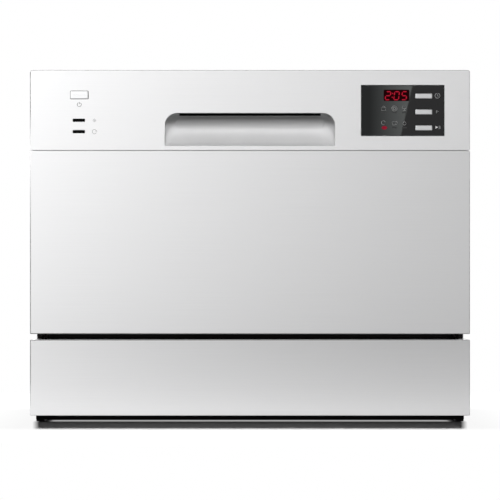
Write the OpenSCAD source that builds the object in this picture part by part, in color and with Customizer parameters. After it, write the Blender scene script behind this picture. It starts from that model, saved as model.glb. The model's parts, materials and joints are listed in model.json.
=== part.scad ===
// Countertop dishwasher with a drop-down door, a sliding dish basket and a turning spray arm.
// Millimetres, +Z up. The door faces -Y and the origin is on the floor, at the middle of the footprint.

/* [Front] */
// Width of the door and of the kick plate
front_w = 550; // [540:5:590]
// Height from the floor to the top of the door
overall_h = 440; // [434:2:470]
// Height of the control panel at the top of the door
fascia_h = 100; // [98:1:110]
// Height of the kick plate
kick_h = 95; // [88:1:99]
// Gap between the kick plate and the door
door_gap = 7; // [6.5:0.5:10]
// Seam between the control panel and the door panel
seam = 1; // [0.6:0.2:2]
// Height of the black base that shows under the kick plate
base_band = 5.4; // [4:0.2:8]
// Height of the feet
foot_h = 2.6; // [2:0.2:6]
// Width of a foot
foot_w = 10.6; // [9:0.2:12]
// Radius of the top corners of the control panel
fascia_corner = 3; // [1:0.5:5]

/* [Door] */
// Thickness of the closed door
door_t = 48; // [47:0.5:52]
// Thickness of the painted door sheet
skin_t = 1; // [0.8:0.1:1.4]
// Wall of the plastic control panel
fascia_t = 2.5; // [2:0.1:3]
// Distance of the hinge axis behind the door's front face
hinge_setback = 9.5; // [9:0.5:11]
// Distance of the hinge axis above the door's lower edge
hinge_rise = 9; // [8:0.5:10]
// Radius of the hinge pins
hinge_pin_r = 3; // [2.5:0.25:3.5]
// Height of the pressed field of the inner door
bulge = 5; // [3:0.5:6]

/* [Handle recess] */
// Width of the handle recess
recess_w = 212.6; // [180:1:230]
// Height of the handle recess
recess_h = 41; // [38:1:46]
// Distance of the recess above the control panel's lower edge
recess_up = 5.2; // [4:0.2:8]
// Radius of the recess's upper corners
recess_corner = 15; // [8:1:18]
// Depth of the recess
recess_depth = 26; // [22:1:28]
// Room on each side of the release paddle
paddle_room = 17.8; // [14:0.1:40]

/* [Controls] */
// Width of the black display window
window_w = 104; // [96:1:110]
// Height of the black display window
window_h = 63.4; // [60:0.5:68]
// Distance of the window's middle from the middle of the room beside the recess
window_shift = 0.35; // [-4:0.05:4]
// Height of the window's middle above the control panel's lower edge
window_up = 49.3; // [44:0.5:52]
// Width of a programme button
button_w = 21.2; // [18:0.5:23]
// Height of a programme button
button_h = 6.4; // [5:0.2:8]
// Spacing of the programme buttons
button_pitch = 19.9; // [16:0.5:21]
// Travel of a programme button
button_travel = 1.2; // [0.8:0.1:1.5]
// Width of the power button
power_w = 22; // [18:0.5:26]
// Height of the power button
power_h = 9.8; // [8:0.2:12]
// Travel of the power button
power_travel = 2; // [1:0.5:2.5]
// Width of an indicator window
lens_w = 15.1; // [12:0.5:18]
// Height of an indicator window
lens_h = 3.8; // [3:0.2:5]

/* [Cabinet] */
// How far the cabinet's side stands inside the door's side
side_inset = 5.5; // [4:0.5:8]
// Depth of the cabinet behind the door seal
cabinet_d = 431; // [420:1:460]
// Thickness of the cabinet's sheet
sheet_t = 1; // [0.8:0.1:1.2]
// Depth of the seal's room between door and cabinet
seal_room = 4; // [3.5:0.5:5]
// Wall of the base tray
tray_t = 2.5; // [2:0.25:3]
// Height of the base tray's walls
tray_h = 40; // [30:1:46]
// How far the cabinet's top lies under the door's top
top_drop = 3; // [2:0.5:5]

/* [Tub] */
// Room between the tub and the cabinet's side
side_room = 28.5; // [26.5:0.5:34]
// Thickness of the tub's steel
tub_t = 1; // [0.8:0.1:1.2]
// Room between the tub's ceiling and the cabinet's top
roof_room = 35; // [34:1:45]
// Room behind the tub for pipes
service_room = 27; // [25:1:40]
// Depth of the basin below the wheel ledges
basin_depth = 40; // [40:0.5:44]
// Radius of the tub's upper corners
tub_corner = 18; // [10:1:30]

/* [Wash system] */
// Room between the spray arm's tip and the tub
arm_room = 17.5; // [13.5:0.5:50]
// Thickness of the spray arm
arm_t = 10; // [8:0.5:11]
// Radius of the filter plate
filter_plate_r = 60; // [50:1:62]
// Radius of the coarse filter cup
filter_r = 30; // [24:1:32]
// Width of the coarse filter cup's slots
filter_slot_w = 3.4; // [2:0.1:3.6]
// Room between the heating element's loop and the salt cap
heater_room = 6.73; // [2:0.01:20]
// Radius of the heating element's tube
heater_r = 4.2; // [3:0.2:5]

/* [Dish basket] */
// Room between the tub's front and the basket, for the inner door
basket_front_room = 26.5; // [24:0.5:40]
// Room between the basket and the tub's back
basket_rear_room = 16.5; // [14:0.5:30]
// Height of the basket's sides
basket_h = 108; // [90:2:120]
// Radius of the basket's rim wires
rim_r = 2.4; // [2:0.1:2.8]
// Radius of the basket's thin wires
wire_r = 1.7; // [1.4:0.1:2]
// Radius of the basket's wheels
wheel_r = 10; // [9:0.5:11]
// Width of the basket's wheels
wheel_w = 9; // [7:0.5:10]
// Distance between the two wheels of a pair
wheel_pitch = 40; // [36:1:50]

/* [Connections] */
// Radius of the water inlet's thread
inlet_r = 13.2; // [13.2:0.1:13.3]
// Length of the water inlet behind the cabinet
inlet_len = 17; // [14:1:25]
// Radius of the drain spigot
drain_r = 9.5; // [8:0.5:11]
// Radius of the mains cord's hole in its gland
gland_bore_r = 3.8; // [3:0.1:4.5]

/* [Hidden] */
$fn = 48;

// Clearances
slip = 0.3;        // between pieces that move past each other
run = 0.08;        // radial clearance of a shaft in its bore
eps = 0.01;        // makes a cut run past the face it opens

// Front to back
button_proud = 0.8;
overall_d = button_proud + door_t + seal_room + cabinet_d + inlet_len;
front_y = -overall_d / 2 + button_proud;
door_back = front_y + door_t;
cab_front = door_back + seal_room;
cab_back = cab_front + cabinet_d;
tub_front = cab_front + tub_t;
tub_back = cab_back - service_room;

// Side to side
half_w = front_w / 2;
cab_half = half_w - side_inset;
inner_half = cab_half - sheet_t;
tub_half = inner_half - side_room;
flange_w = 14;
flange_half = tub_half + flange_w;
seal_w = 12;

// Floor to top
kick_z = foot_h + base_band;
kick_top = kick_z + kick_h;
door_z = kick_top + door_gap;
fascia_z = overall_h - fascia_h;
panel_top = fascia_z - seam;
cab_top = overall_h - top_drop;
cover_t = 1.2;
side_top = cab_top - cover_t;
side_z = foot_h + 9;
tray_floor = foot_h + tray_t;

// Hinge: the wheel ledges lie just over the inside face of the open door
hinge_y = front_y + hinge_setback;
hinge_z = door_z + hinge_rise;
open_face_z = hinge_z + door_t - hinge_setback;
rail_z = open_face_z + 0.8;
hinge_eye_r = hinge_pin_r + 4;
arm_plate_t = 3;
arm_x = flange_half + 0.5;
bracket_x = arm_x + arm_plate_t + 1.5;
tail = [21.5, -28];     // from the hinge axis to the spring's hole, y and z
hinge_notch_x = flange_half - 4;
hinge_notch_z = hinge_z + 31;

// Tub
ceiling_z = cab_top - roof_room;
basin_z = rail_z - basin_depth;
wheel_x = tub_half - wheel_w - 8.5;
ledge_half = wheel_x - 9.5;
basin_half = ledge_half - 10;
flange_top = ceiling_z + 32;
window_bottom = ceiling_z + seal_w + 1;

// Wash system
hub = [0, (tub_front + tub_back) / 2];
sump_c = [62, hub[1] - 52];
sump_r = 42;
sump_t = 3;
sump_port_r = 9.5;
drain_port_r = 6;
sump_z = 30;
arm_z = basin_z + 24;
post_r = 12;
pump_z = 50;
pump_r = 38;
motor_r = 32;
volute_w = 30;
pump_x = hub[0] - volute_w / 2;     // joint face of volute and motor
motor_len = 110;
shaft_r = 4;
salt = [-basin_half + 53, hub[1] + 90];
salt_neck_r = 22;
salt_cap_r = salt_neck_r + 7;
heater_loop_r = norm(salt - hub) - salt_cap_r - heater_room - heater_r;
arm_reach = min(basin_half, (tub_back - tub_front) / 2) - arm_room;
valve_room = 72.5;                  // behind the softener tank
tank_x = [salt[0] - 82, salt[0] + 38];
tank_y = [salt[1] - 42, cab_back - valve_room];
tank_t = 3;
softener_h = 92;

// Basket
axle_z = rail_z + wheel_r + slip;
axle_r = 3;
basket_y = tub_front + basket_front_room;
basket_back = tub_back - basket_rear_room;
basket_half = wheel_x - 12.5;
floor_z = axle_z + 8;
rim_z = floor_z + basket_h;
wheel_ys = [basket_y + 32, basket_y + 32 + wheel_pitch,
            basket_back - 30 - wheel_pitch, basket_back - 30];
shelf_axis = [-basket_half + 7, floor_z + 88];
shelf_w = 86;
shelf_half_len = 95;
shelf_wire_r = 2;
cutlery_x = [basket_half - 84, basket_half - 10];
cutlery_y = [hub[1] - 80, hub[1] + 80];
cutlery_z = floor_z + wire_r + slip;
cutlery_h = 105;
cutlery_t = 2;

// Controls
window_x = (recess_w / 2 + half_w) / 2 + window_shift;
window_z = fascia_z + window_up;
button_x = window_x + 26.3;
button_z = window_z - 1.8;
power = [-half_w + 61.7, fascia_z + 68.8];
lens_x = -half_w + 61.1;
lens_z = [fascia_z + 37.1, fascia_z + 22.9];
board_y = front_y + 8.6;
board_t = 1.6;

// Handle recess
recess_z = fascia_z + recess_up;
recess_top = recess_z + recess_h;
scoop_t = 1.8;
scoop_arc_r = recess_depth + 0.4;
paddle_show = 3;          // how much of the paddle hangs below the recess's roof
paddle_pivot = [front_y + 14, recess_top + 16];
paddle_w = recess_w - 2 * paddle_room;
paddle_t = 3;
paddle_pin_r = 2;
hook_half = 8;
hook_arm_z = ceiling_z + 21;
strike_y = cab_front + tub_t;
nose_y = strike_y + 5.5;

// Dispenser on the inner door
disp = [-40, 92, 176, 300];          // x low, x high, z low, z high of its flange
cup = [-30, 40, 238, 290];
cap_at = [68, 265];
disp_face = door_back + bulge;
disp_flange_t = 2.5;
field_half = tub_half - 40;          // the inner door's pressed field
field_z = [rail_z + 10, fascia_z - 4];
field_corner = 14;
disp_depth = 24;
lid_t = 2;
lid_over = 3;

// Rear connections
inlet_at = [-cab_half + 64.5, 62];
drain_at = [inlet_at[0] + 55, 62];
gland_at = [cab_half - 64.5, 45];

// ---------- helpers ----------
module slab(x0, x1, y0, y1, z0, z1) { translate([x0, y0, z0]) cube([x1 - x0, y1 - y0, z1 - z0]); }

module rod_x(x0, x1, y, z, r) { translate([x0, y, z]) rotate([0, 90, 0]) cylinder(r = r, h = x1 - x0); }

module rod_y(y0, y1, x, z, r) { translate([x, y0, z]) rotate([-90, 0, 0]) cylinder(r = r, h = y1 - y0); }

module rod_z(z0, z1, x, y, r) { translate([x, y, z0]) cylinder(r = r, h = z1 - z0); }

// A flat outline drawn as x and z, pushed from y0 to y1
module front_prism(y0, y1) { translate([0, y1, 0]) rotate([90, 0, 0]) linear_extrude(y1 - y0) children(); }

// A flat outline drawn as y and z, pushed from x0 to x1
module side_prism(x0, x1) { translate([x0, 0, 0]) rotate([90, 0, 90]) linear_extrude(x1 - x0) children(); }

module rect(x0, x1, z0, z1) { translate([x0, z0]) square([x1 - x0, z1 - z0]); }

module rrect(x0, x1, z0, z1, r) {
    rect(x0 + r, x1 - r, z0, z1);
    rect(x0, x1, z0 + r, z1 - r);
    for (x = [x0 + r, x1 - r], z = [z0 + r, z1 - r]) translate([x, z]) circle(r);
}

module top_rrect(x0, x1, z0, z1, r) {
    rect(x0 + r, x1 - r, z0, z1);
    rect(x0, x1, z0, z1 - r);
    for (x = [x0 + r, x1 - r]) translate([x, z1 - r]) circle(r);
}

module mirrored_x() { children(); mirror([1, 0, 0]) children(); }

function unit(v) = v / norm(v);

// How much of a leg a bend of the given radius takes up at corner b
function bend_leg(a, b, c, bend) = bend * tan(acos(unit(b - a) * unit(c - b)) / 2);

// Round rod of straight legs and round bends through a list of points
module bent_rod(p, r, bend) {
    n = len(p) - 1;
    for (i = [0 : n - 1]) {
        u = unit(p[i + 1] - p[i]);
        a = p[i] + u * (i == 0 ? 0 : bend_leg(p[i - 1], p[i], p[i + 1], bend));
        b = p[i + 1] - u * (i == n - 1 ? 0 : bend_leg(p[i], p[i + 1], p[i + 2], bend));
        translate(a) rotate([0, acos(u[2]), atan2(u[1], u[0])]) cylinder(r = r, h = norm(b - a));
    }
    if (n > 1) for (i = [1 : n - 1]) {
        u = unit(p[i] - p[i - 1]);
        v = unit(p[i + 1] - p[i]);
        out = -unit(v - u * (u * v));
        w = cross(out, u);
        c = p[i] - u * bend_leg(p[i - 1], p[i], p[i + 1], bend) - out * bend;
        multmatrix([[out[0], u[0], w[0], c[0]], [out[1], u[1], w[1], c[1]], [out[2], u[2], w[2], c[2]]])
            rotate_extrude(angle = acos(u * v)) translate([bend, 0]) circle(r);
    }
}

function stretched(p) = let (n = len(p) - 1)
    [for (i = [0 : n]) i == 0 ? p[0] - unit(p[1] - p[0]) : i == n ? p[n] + unit(p[n] - p[n - 1]) : p[i]];

module hose(p, r, bore, bend) {
    difference() {
        bent_rod(p, r, bend);
        bent_rod(stretched(p), bore, bend);
    }
}

// Rod through a list of points, with ball corners
module solid_run(points, r) {
    for (i = [0 : len(points) - 2]) {
        d = points[i + 1] - points[i];
        n = norm(d);
        translate(points[i]) rotate([0, acos(d[2] / n), atan2(d[1], d[0])]) cylinder(r = r, h = n);
    }
    if (len(points) > 2) for (i = [1 : len(points) - 2]) translate(points[i]) sphere(r);
}

// ---------- cabinet ----------
module base_tray() {
    color("#141414") {
        difference() {
            slab(-inner_half + slip, inner_half - slip, front_y + 14, cab_back - sheet_t - slip,
                 foot_h, foot_h + tray_h);
            slab(-inner_half + slip + tray_t, inner_half - slip - tray_t, front_y + 14 + tray_t,
                 cab_back - sheet_t - slip - tray_t, tray_floor, foot_h + tray_h + 1);
            for (x = [-1, 1], y = foot_ys) rod_z(foot_h - 1, tray_floor + 1, x * foot_x, y, foot_stem_r + 0.1);
            rear_notch(inlet_at, inlet_r + 9);
            rear_notch(drain_at, drain_r + 7);
            rear_notch(gland_at, 11);
        }
        motor_cradles();
        tray_post(sump_c[0], sump_c[1], 18, sump_z);
        tray_post(drain_pump_x + 32, sump_c[1], 10, pump_z - drain_motor[1] - slip);
        for (x = [tank_x[0] + 12, tank_x[1] - 13], y = [tank_y[0] + 12, tank_y[1] - 6])
            tray_post(x, y, 6, softener_z);
        for (x = [-1, 1]) spring_anchor(x);
    }
}

foot_x = inner_half - slip - foot_w / 2;
foot_ys = [front_y + 42, cab_back - 28];
foot_stem_r = 2.9;
foot_len = 40;
softener_z = 12;
drain_pump_x = sump_c[0] + sump_r + slip;
spring_r = 7;
spring_end = [hub[1] + 30, 45];

module rear_notch(at, r) { rod_y(cab_back - 10, cab_back + 1, at[0], at[1], r); }

module tray_post(x, y, r, top) { rod_z(tray_floor - 1, top, x, y, r); }

module motor_cradles() {
    for (x = [pump_x - motor_len + 18, pump_x - 24]) difference() {
        slab(x - 4, x + 4, sump_c[1] - 24, sump_c[1] + 24, tray_floor - 1, pump_z - 10);
        rod_x(x - 5, x + 5, sump_c[1], pump_z, motor_r + slip);
    }
}

spring_x = arm_x - 1.5;
spring_wire_r = 1.2;
module spring_anchor(side) {
    x = side * spring_x;
    pin_y = spring_end[0] + 3;
    difference() {
        slab(x - 4, x + 4, spring_end[0] - 5, spring_end[0] + 9, tray_floor - 1, spring_end[1] + 6);
        slab(x - 1.7, x + 1.7, spring_end[0] - 6, pin_y + 3, spring_end[1] - 4, spring_end[1] + 7);
    }
    rod_x(x - 3, x + 3, pin_y, spring_end[1], 1.5);
}

module feet() {
    color("#0c0c0c") for (x = [-1, 1], y = foot_ys) foot(x * foot_x, y);
}

module foot(x, y) {
    linear_extrude(foot_h) translate([x, y]) rrect(-foot_w / 2, foot_w / 2, -foot_len / 2, foot_len / 2, 2);
    rod_z(foot_h - eps, tray_floor + 2, x, y, foot_stem_r);
}

module kick_plate() {
    color("#d2d2d3") difference() {
        front_prism(front_y, cab_front - 1) rrect(-half_w, half_w, kick_z, kick_top, 0.8);
        front_prism(front_y + skin_t, cab_front) rect(-half_w + skin_t, half_w - skin_t,
                                                       kick_z + skin_t, kick_top - skin_t);
        // The top and bottom folds are shallow; only the side folds reach the cabinet
        slab(-half_w + skin_t, half_w - skin_t, front_y + 14, cab_front, kick_z - 1, kick_top + 1);
    }
}

module front_crossmember() {
    color("#101010") difference() {
        slab(-inner_half + slip, inner_half - slip, cab_front - 2, cab_front + 4, foot_h + tray_h,
             basin_z - tub_t - slip);
        for (x = [-1, 1]) translate([x * (arm_x + arm_plate_t / 2), 0, 0])
            slab(-6, 6, cab_front - 3, cab_front + 5, hinge_z + tail[1] - 10, hinge_z + tail[1] + 4);
    }
}

module side_panel() {
    slab(inner_half, cab_half, cab_front, cab_back, side_z, side_top);
    slab(flange_half + 2, inner_half + eps, cab_front, cab_front + sheet_t, hinge_notch_z, side_top);
}

module left_side_panel() { color("#d8d9da") mirror([1, 0, 0]) side_panel(); }

module right_side_panel() { color("#d8d9da") side_panel(); }

cover_lap = 11;

module top_cover() {
    color("#dcdddd") difference() {
        slab(-cab_half - 1.2 - slip, cab_half + 1.2 + slip, cab_front - 0.5, cab_back + 1.5,
             side_top - cover_lap, cab_top);
        slab(-cab_half - slip, cab_half + slip, cab_front - 1.5, cab_back + slip,
             side_top - cover_lap - 1, side_top);
    }
}

vent_w = 60;
rear_field = [cab_half - 69.5, 170, side_top - 55.8];     // half width, z low, z high
rear_field_rise = 2;
module rear_panel() {
    color("#c9cbcc") difference() {
        union() {
            slab(-inner_half + slip, inner_half - slip, cab_back - sheet_t, cab_back, side_z, side_top - slip);
            front_prism(cab_back - eps, cab_back + rear_field_rise)
                rrect(-rear_field[0], rear_field[0], rear_field[1], rear_field[2], 12);
        }
        front_prism(cab_back - sheet_t - 1, cab_back + rear_field_rise - sheet_t)
            rrect(-rear_field[0] + sheet_t, rear_field[0] - sheet_t, rear_field[1] + sheet_t,
                  rear_field[2] - sheet_t, 11);
        rod_y(cab_back - 3, cab_back + 3, inlet_at[0], inlet_at[1], inlet_r + 2);
        rod_y(cab_back - 3, cab_back + 3, drain_at[0], drain_at[1], drain_r + 2);
        rod_y(cab_back - 3, cab_back + 3, gland_at[0], gland_at[1], gland_neck_r + 0.1);
        for (x = [-40, 40], i = [0 : 5])
            front_prism(cab_back - 3, cab_back + 3)
                rrect(x - vent_w / 2 + 4, x + vent_w / 2 - 4, 60 + i * 12, 64 + i * 12, 1.9);
    }
}

module cabinet_screws() {
    color("#a8abad") for (x = [-1, 1], z = [side_z + 14, 150, 290, side_top - 26])
        rod_y(cab_back, cab_back + 1.8, x * (inner_half - 12), z, 3.6);
}

// ---------- tub ----------
module tub_outline(grow) {
    top_rrect(-tub_half - grow, tub_half + grow, rail_z, ceiling_z + grow, tub_corner + grow);
}

module tub_wrapper() {
    color("#b9bdc0") {
        front_prism(tub_front, tub_back - tub_t) difference() {
            tub_outline(tub_t);
            union() { tub_outline(0); rect(-tub_half, tub_half, rail_z - 1, rail_z + 1); }
        }
        front_prism(cab_front, tub_front) difference() {
            rect(-flange_half, flange_half, rail_z, flange_top);
            union() { tub_outline(0); rect(-tub_half, tub_half, rail_z - 1, rail_z + 1); }
            rect(-hook_half - 6, hook_half + 6, window_bottom, window_bottom + 15);
        }
    }
}

module tub_rear_wall() {
    color("#b9bdc0") front_prism(tub_back - tub_t, tub_back) {
        tub_outline(tub_t);
        rect(-ledge_half, ledge_half, basin_z - tub_t, rail_z + 1);
    }
}

module basin_outline(drop) {
    polygon([[-ledge_half, rail_z - drop], [-basin_half, basin_z - drop], [basin_half, basin_z - drop],
             [ledge_half, rail_z - drop], [ledge_half, rail_z + 1], [-ledge_half, rail_z + 1]]);
}

module tub_floor() {
    color("#b4b8bb") difference() {
        union() {
            front_prism(tub_front, tub_back - tub_t) difference() {
                union() {
                    rect(-tub_half - tub_t, tub_half + tub_t, rail_z - tub_t, rail_z);
                    basin_outline(tub_t);
                }
                basin_outline(0);
                rect(-tub_half - 2, tub_half + 2, rail_z, rail_z + 2);
            }
            // front lip, with the face that the lip seal meets
            front_prism(cab_front, tub_front) rect(-flange_half, flange_half, basin_z - tub_t, rail_z);
        }
        rod_z(basin_z - 5, basin_z + 5, sump_c[0], sump_c[1], sump_r + 12);
        rod_z(basin_z - 5, basin_z + 5, hub[0], hub[1], post_r + 0.2);
        rod_z(basin_z - 5, basin_z + 5, salt[0], salt[1], salt_neck_r + 0.2);
        for (x = heater_leg_xs) rod_z(basin_z - 5, basin_z + 5, x, heater_leg_y, heater_r + 0.3);
    }
}

heater_leg_angle = 6;
heater_leg_xs = [for (s = [-1, 1]) hub[0] + s * heater_loop_r * sin(heater_leg_angle)];
heater_leg_y = hub[1] + heater_loop_r * cos(heater_leg_angle);

module tub_seal() {
    color("#5b5e60") front_prism(door_back + slip, cab_front) difference() {
        top_rrect(-tub_half - seal_w, tub_half + seal_w, rail_z, ceiling_z + seal_w, tub_corner);
        top_rrect(-tub_half, tub_half, rail_z - 1, ceiling_z, tub_corner);
    }
}

// ---------- wash system ----------
module sump() {
    color("#3a3d40") difference() {
        union() {
            rod_z(basin_z - tub_t - 4, basin_z - tub_t, sump_c[0], sump_c[1], sump_r + 16);
            rod_z(sump_z, basin_z - tub_t, sump_c[0], sump_c[1], sump_r);
            rod_z(arm_z - 60, basin_z - tub_t, sump_c[0], sump_c[1], sump_r + 4);
        }
        rod_z(sump_z + sump_t, basin_z + 1, sump_c[0], sump_c[1], sump_r - sump_t);
        // suction opening towards the wash pump and the drain pump
        rod_x(sump_c[0] - sump_r - 5, sump_c[0], sump_c[1], pump_z, sump_port_r);
        rod_x(sump_c[0], sump_c[0] + sump_r + 5, sump_c[1], pump_z, drain_port_r);
    }
}

module filter_plate() {
    color("#a9adb0") difference() {
        rod_z(basin_z, basin_z + 1, sump_c[0], sump_c[1], filter_plate_r);
        rod_z(basin_z - 1, basin_z + 2, sump_c[0], sump_c[1], filter_r + slip);
        for (ring = [0 : 3], i = [0 : 17 + 4 * ring])
            translate([sump_c[0], sump_c[1], 0]) rotate(i * 360 / (18 + 4 * ring))
                rod_z(basin_z - 1, basin_z + 2, filter_r + 6 + ring * 6, 0, 1.6);
    }
}

filter_drop = 38;
filter_floor = basin_z - filter_drop;
filter_t = 2;
module coarse_filter() {
    color("#8b8f92") {
        difference() {
            union() {
                rod_z(filter_floor, basin_z + 4, sump_c[0], sump_c[1], filter_r);
                rod_z(basin_z + 1 + slip, basin_z + 4, sump_c[0], sump_c[1], filter_r + 4);
            }
            rod_z(filter_floor + filter_t, basin_z + 5, sump_c[0], sump_c[1], filter_r - filter_t);
            for (i = [0 : 11]) translate([sump_c[0], sump_c[1], 0]) rotate(i * 30)
                slab(filter_r - 2 * filter_t, filter_r + 1, -filter_slot_w / 2, filter_slot_w / 2,
                     filter_floor + 6, basin_z - 5);
        }
        // grip bar across the mouth
        translate([sump_c[0], sump_c[1], 0]) rotate(35)
            slab(-filter_r + 1, filter_r - 1, -2, 2, basin_z - 6, basin_z + 11);
    }
}

module spray_arm_post() {
    color("#44474a") difference() {
        union() {
            rod_z(basin_z - 22, arm_z + arm_t - 2, hub[0], hub[1], post_r);
            rod_z(basin_z, basin_z + 3, hub[0], hub[1], post_r + 7);
        }
        rod_z(basin_z - 23, arm_z + arm_t - 1, hub[0], hub[1], post_r - 3);
    }
}

// One half of the spray arm, seen from above: a blade that sweeps back towards its tip
module arm_blade() {
    root = 17;
    tip = 9;
    polygon([[0, -root], [60, -root + 2], [arm_reach - tip, -tip - 6], [arm_reach - tip, tip - 6],
             [70, root - 4], [0, root]]);
    translate([arm_reach - tip, -6]) circle(tip);
}

module spray_arm() {
    color("#6f7376") translate([hub[0], hub[1], arm_z]) difference() {
        union() {
            for (a = [0, 180]) rotate(a) linear_extrude(arm_t) arm_blade();
            cylinder(r = 24, h = arm_t);
            translate([0, 0, arm_t]) cylinder(r = 17, h = 5);
        }
        // water way, open below for the post
        for (a = [0, 180]) rotate(a) slab(10, arm_reach - 16, -7, 3, 2, arm_t - 2);
        translate([0, 0, -1]) cylinder(r = post_r + run, h = arm_t);
        for (a = [0, 180], i = [0 : 4]) rotate(a) translate([44 + i * 29, -3 + (i % 2) * 3, 0])
            cylinder(r = 1.6, h = arm_t + 1);
    }
}

module heating_element() {
    color("#7d7f80") {
        translate([hub[0], hub[1], basin_z + 9]) rotate(90 + heater_leg_angle)
            rotate_extrude(angle = 360 - 2 * heater_leg_angle) translate([heater_loop_r, 0]) circle(heater_r);
        for (x = heater_leg_xs) {
            translate([x, heater_leg_y, basin_z + 9]) sphere(heater_r + 0.9);
            rod_z(basin_z - 14, basin_z + 9, x, heater_leg_y, heater_r);
        }
        for (x = heater_leg_xs) rod_z(basin_z, basin_z + 3, x, heater_leg_y, heater_r + 3);
    }
}

riser_z = pump_z + 18;
module riser(start, end, r) {
    bent_rod([[hub[0], sump_c[1] + start, riser_z], [hub[0], hub[1], riser_z], [hub[0], hub[1], end]],
             r, post_r + 3);
}

module wash_pump_housing() {
    y = sump_c[1];
    sump_wall = sump_c[0] - sump_r;
    color("#2c2f33") {
        // volute, its suction pipe from the sump and its riser to the spray arm post
        difference() {
            union() {
                rod_x(pump_x, pump_x + volute_w, y, pump_z, pump_r);
                rod_x(pump_x + volute_w - 1, sump_wall - slip, y, pump_z, 12);
                rod_x(sump_wall - 1, sump_wall + sump_t - 1, y, pump_z, sump_port_r - slip);
                riser(22, basin_z - 22, post_r);
            }
            rod_x(pump_x + 3, pump_x + volute_w - 3, y, pump_z, pump_r - 3);
            rod_x(pump_x + volute_w - 4, sump_c[0], y, pump_z, sump_port_r - 2.5);
            riser(20, basin_z - 21, post_r - 3);
            rod_x(pump_x - 1, pump_x + 5, y, pump_z, shaft_r + run);
        }
        // motor casing, with the rotor's room and the rear bearing
        difference() {
            union() {
                rod_x(pump_x - motor_len, pump_x, y, pump_z, motor_r);
                for (i = [-2 : 2]) translate([0, y, pump_z]) rotate([i * 45, 0, 0])
                    slab(pump_x - motor_len + 10, pump_x - 10, -1.5, 1.5, motor_r - 2, motor_r + 2);
            }
            rod_x(pump_x - motor_len + 8, pump_x - 5, y, pump_z, motor_r - 8);
            rod_x(pump_x - motor_len + 3, pump_x + 1, y, pump_z, shaft_r + run);
        }
    }
}

module pump_rotor() {
    y = sump_c[1];
    color("#9a9da0") {
        rod_x(pump_x - motor_len + 4, pump_x + 14, y, pump_z, shaft_r);
        rod_x(pump_x - motor_len + 14, pump_x - 12, y, pump_z, motor_r - 10);
        rod_x(pump_x + 5, pump_x + 8, y, pump_z, pump_r - 8);
        for (i = [0 : 5]) translate([0, y, pump_z]) rotate([i * 60, 0, 0])
            slab(pump_x + 7, pump_x + 20, -1.2, 1.2, 8, pump_r - 8);
    }
}

drain_hose_r = 9;
drain_hose_t = 2;
drain_housing = [22, 24];      // length and radius of the drain pump's chamber
drain_motor = [40, 19];        // length and radius of its motor
drain_coil = [4, 23, 12];      // room beside the chamber, half width and half height of its coil
drain_spigot_y = sump_c[1] + 40;
module drain_pump() {
    y = sump_c[1];
    joint_x = drain_pump_x + drain_housing[0];
    end_x = joint_x + drain_motor[0];
    color("#33363a") {
        rod_x(drain_pump_x, joint_x, y, pump_z, drain_housing[1]);
        rod_x(drain_pump_x - 2, drain_pump_x + 1, y, pump_z, drain_port_r - slip);
        rod_x(joint_x, end_x, y, pump_z, drain_motor[1]);
        slab(joint_x + drain_coil[0], end_x - drain_coil[0], y - drain_coil[1], y + drain_coil[1],
             pump_z - drain_coil[2], pump_z + drain_coil[2]);
        rod_y(y + 18, drain_spigot_y, drain_pump_x + drain_housing[0] / 2, drain_at[1],
              drain_hose_r - drain_hose_t);
    }
}

module drain_hose() {
    x = drain_pump_x + drain_housing[0] / 2;
    z = drain_at[1];
    back = cab_back - 44;
    color("#8a8d90") hose([[x, drain_spigot_y, z], [x, back, z], [drain_at[0], back, z],
                           [drain_at[0], cab_back - 26, z]], drain_hose_r, drain_hose_r - drain_hose_t, 15);
}

module drain_outlet() {
    color("#1b1b1b") difference() {
        union() {
            rod_y(cab_back - 26, cab_back + inlet_len - 3, drain_at[0], drain_at[1], drain_r);
            rod_y(cab_back - sheet_t - 5, cab_back - sheet_t, drain_at[0], drain_at[1], drain_r + 6);
            rod_y(cab_back - sheet_t - 1, cab_back, drain_at[0], drain_at[1], drain_r + 2 - slip);
        }
        rod_y(cab_back - 27, cab_back + inlet_len, drain_at[0], drain_at[1], drain_r - 2.5);
    }
}

module softener_tank() {
    color("#c9ccce") difference() {
        union() {
            slab(tank_x[0], tank_x[1], tank_y[0], tank_y[1], softener_z, softener_z + softener_h - 8);
            rod_z(softener_z + softener_h - 9, basin_z + 4, salt[0], salt[1], salt_neck_r);
            rod_z(basin_z - tub_t - 5, basin_z - tub_t, salt[0], salt[1], salt_neck_r + 6);
        }
        slab(tank_x[0] + tank_t, tank_x[1] - tank_t, tank_y[0] + tank_t, tank_y[1] - tank_t,
             softener_z + tank_t, softener_z + softener_h - 8 - tank_t);
        rod_z(softener_z + softener_h - 12, basin_z + 5, salt[0], salt[1], salt_neck_r - 3);
    }
}

module salt_cap() {
    color("#54585b") translate([salt[0], salt[1], 0]) {
        difference() {
            translate([0, 0, basin_z + slip]) cylinder(r = salt_cap_r, h = 11);
            translate([0, 0, basin_z - 1]) cylinder(r = salt_neck_r + 0.4, h = 6);
            for (i = [0 : 11]) rotate(i * 30) translate([salt_cap_r + 1.5, 0, basin_z - 1])
                cylinder(r = 2.4, h = 14);
        }
        translate([0, 0, basin_z + 10]) slab(-16, 16, -2.5, 2.5, 0, 6);
    }
}

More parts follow.
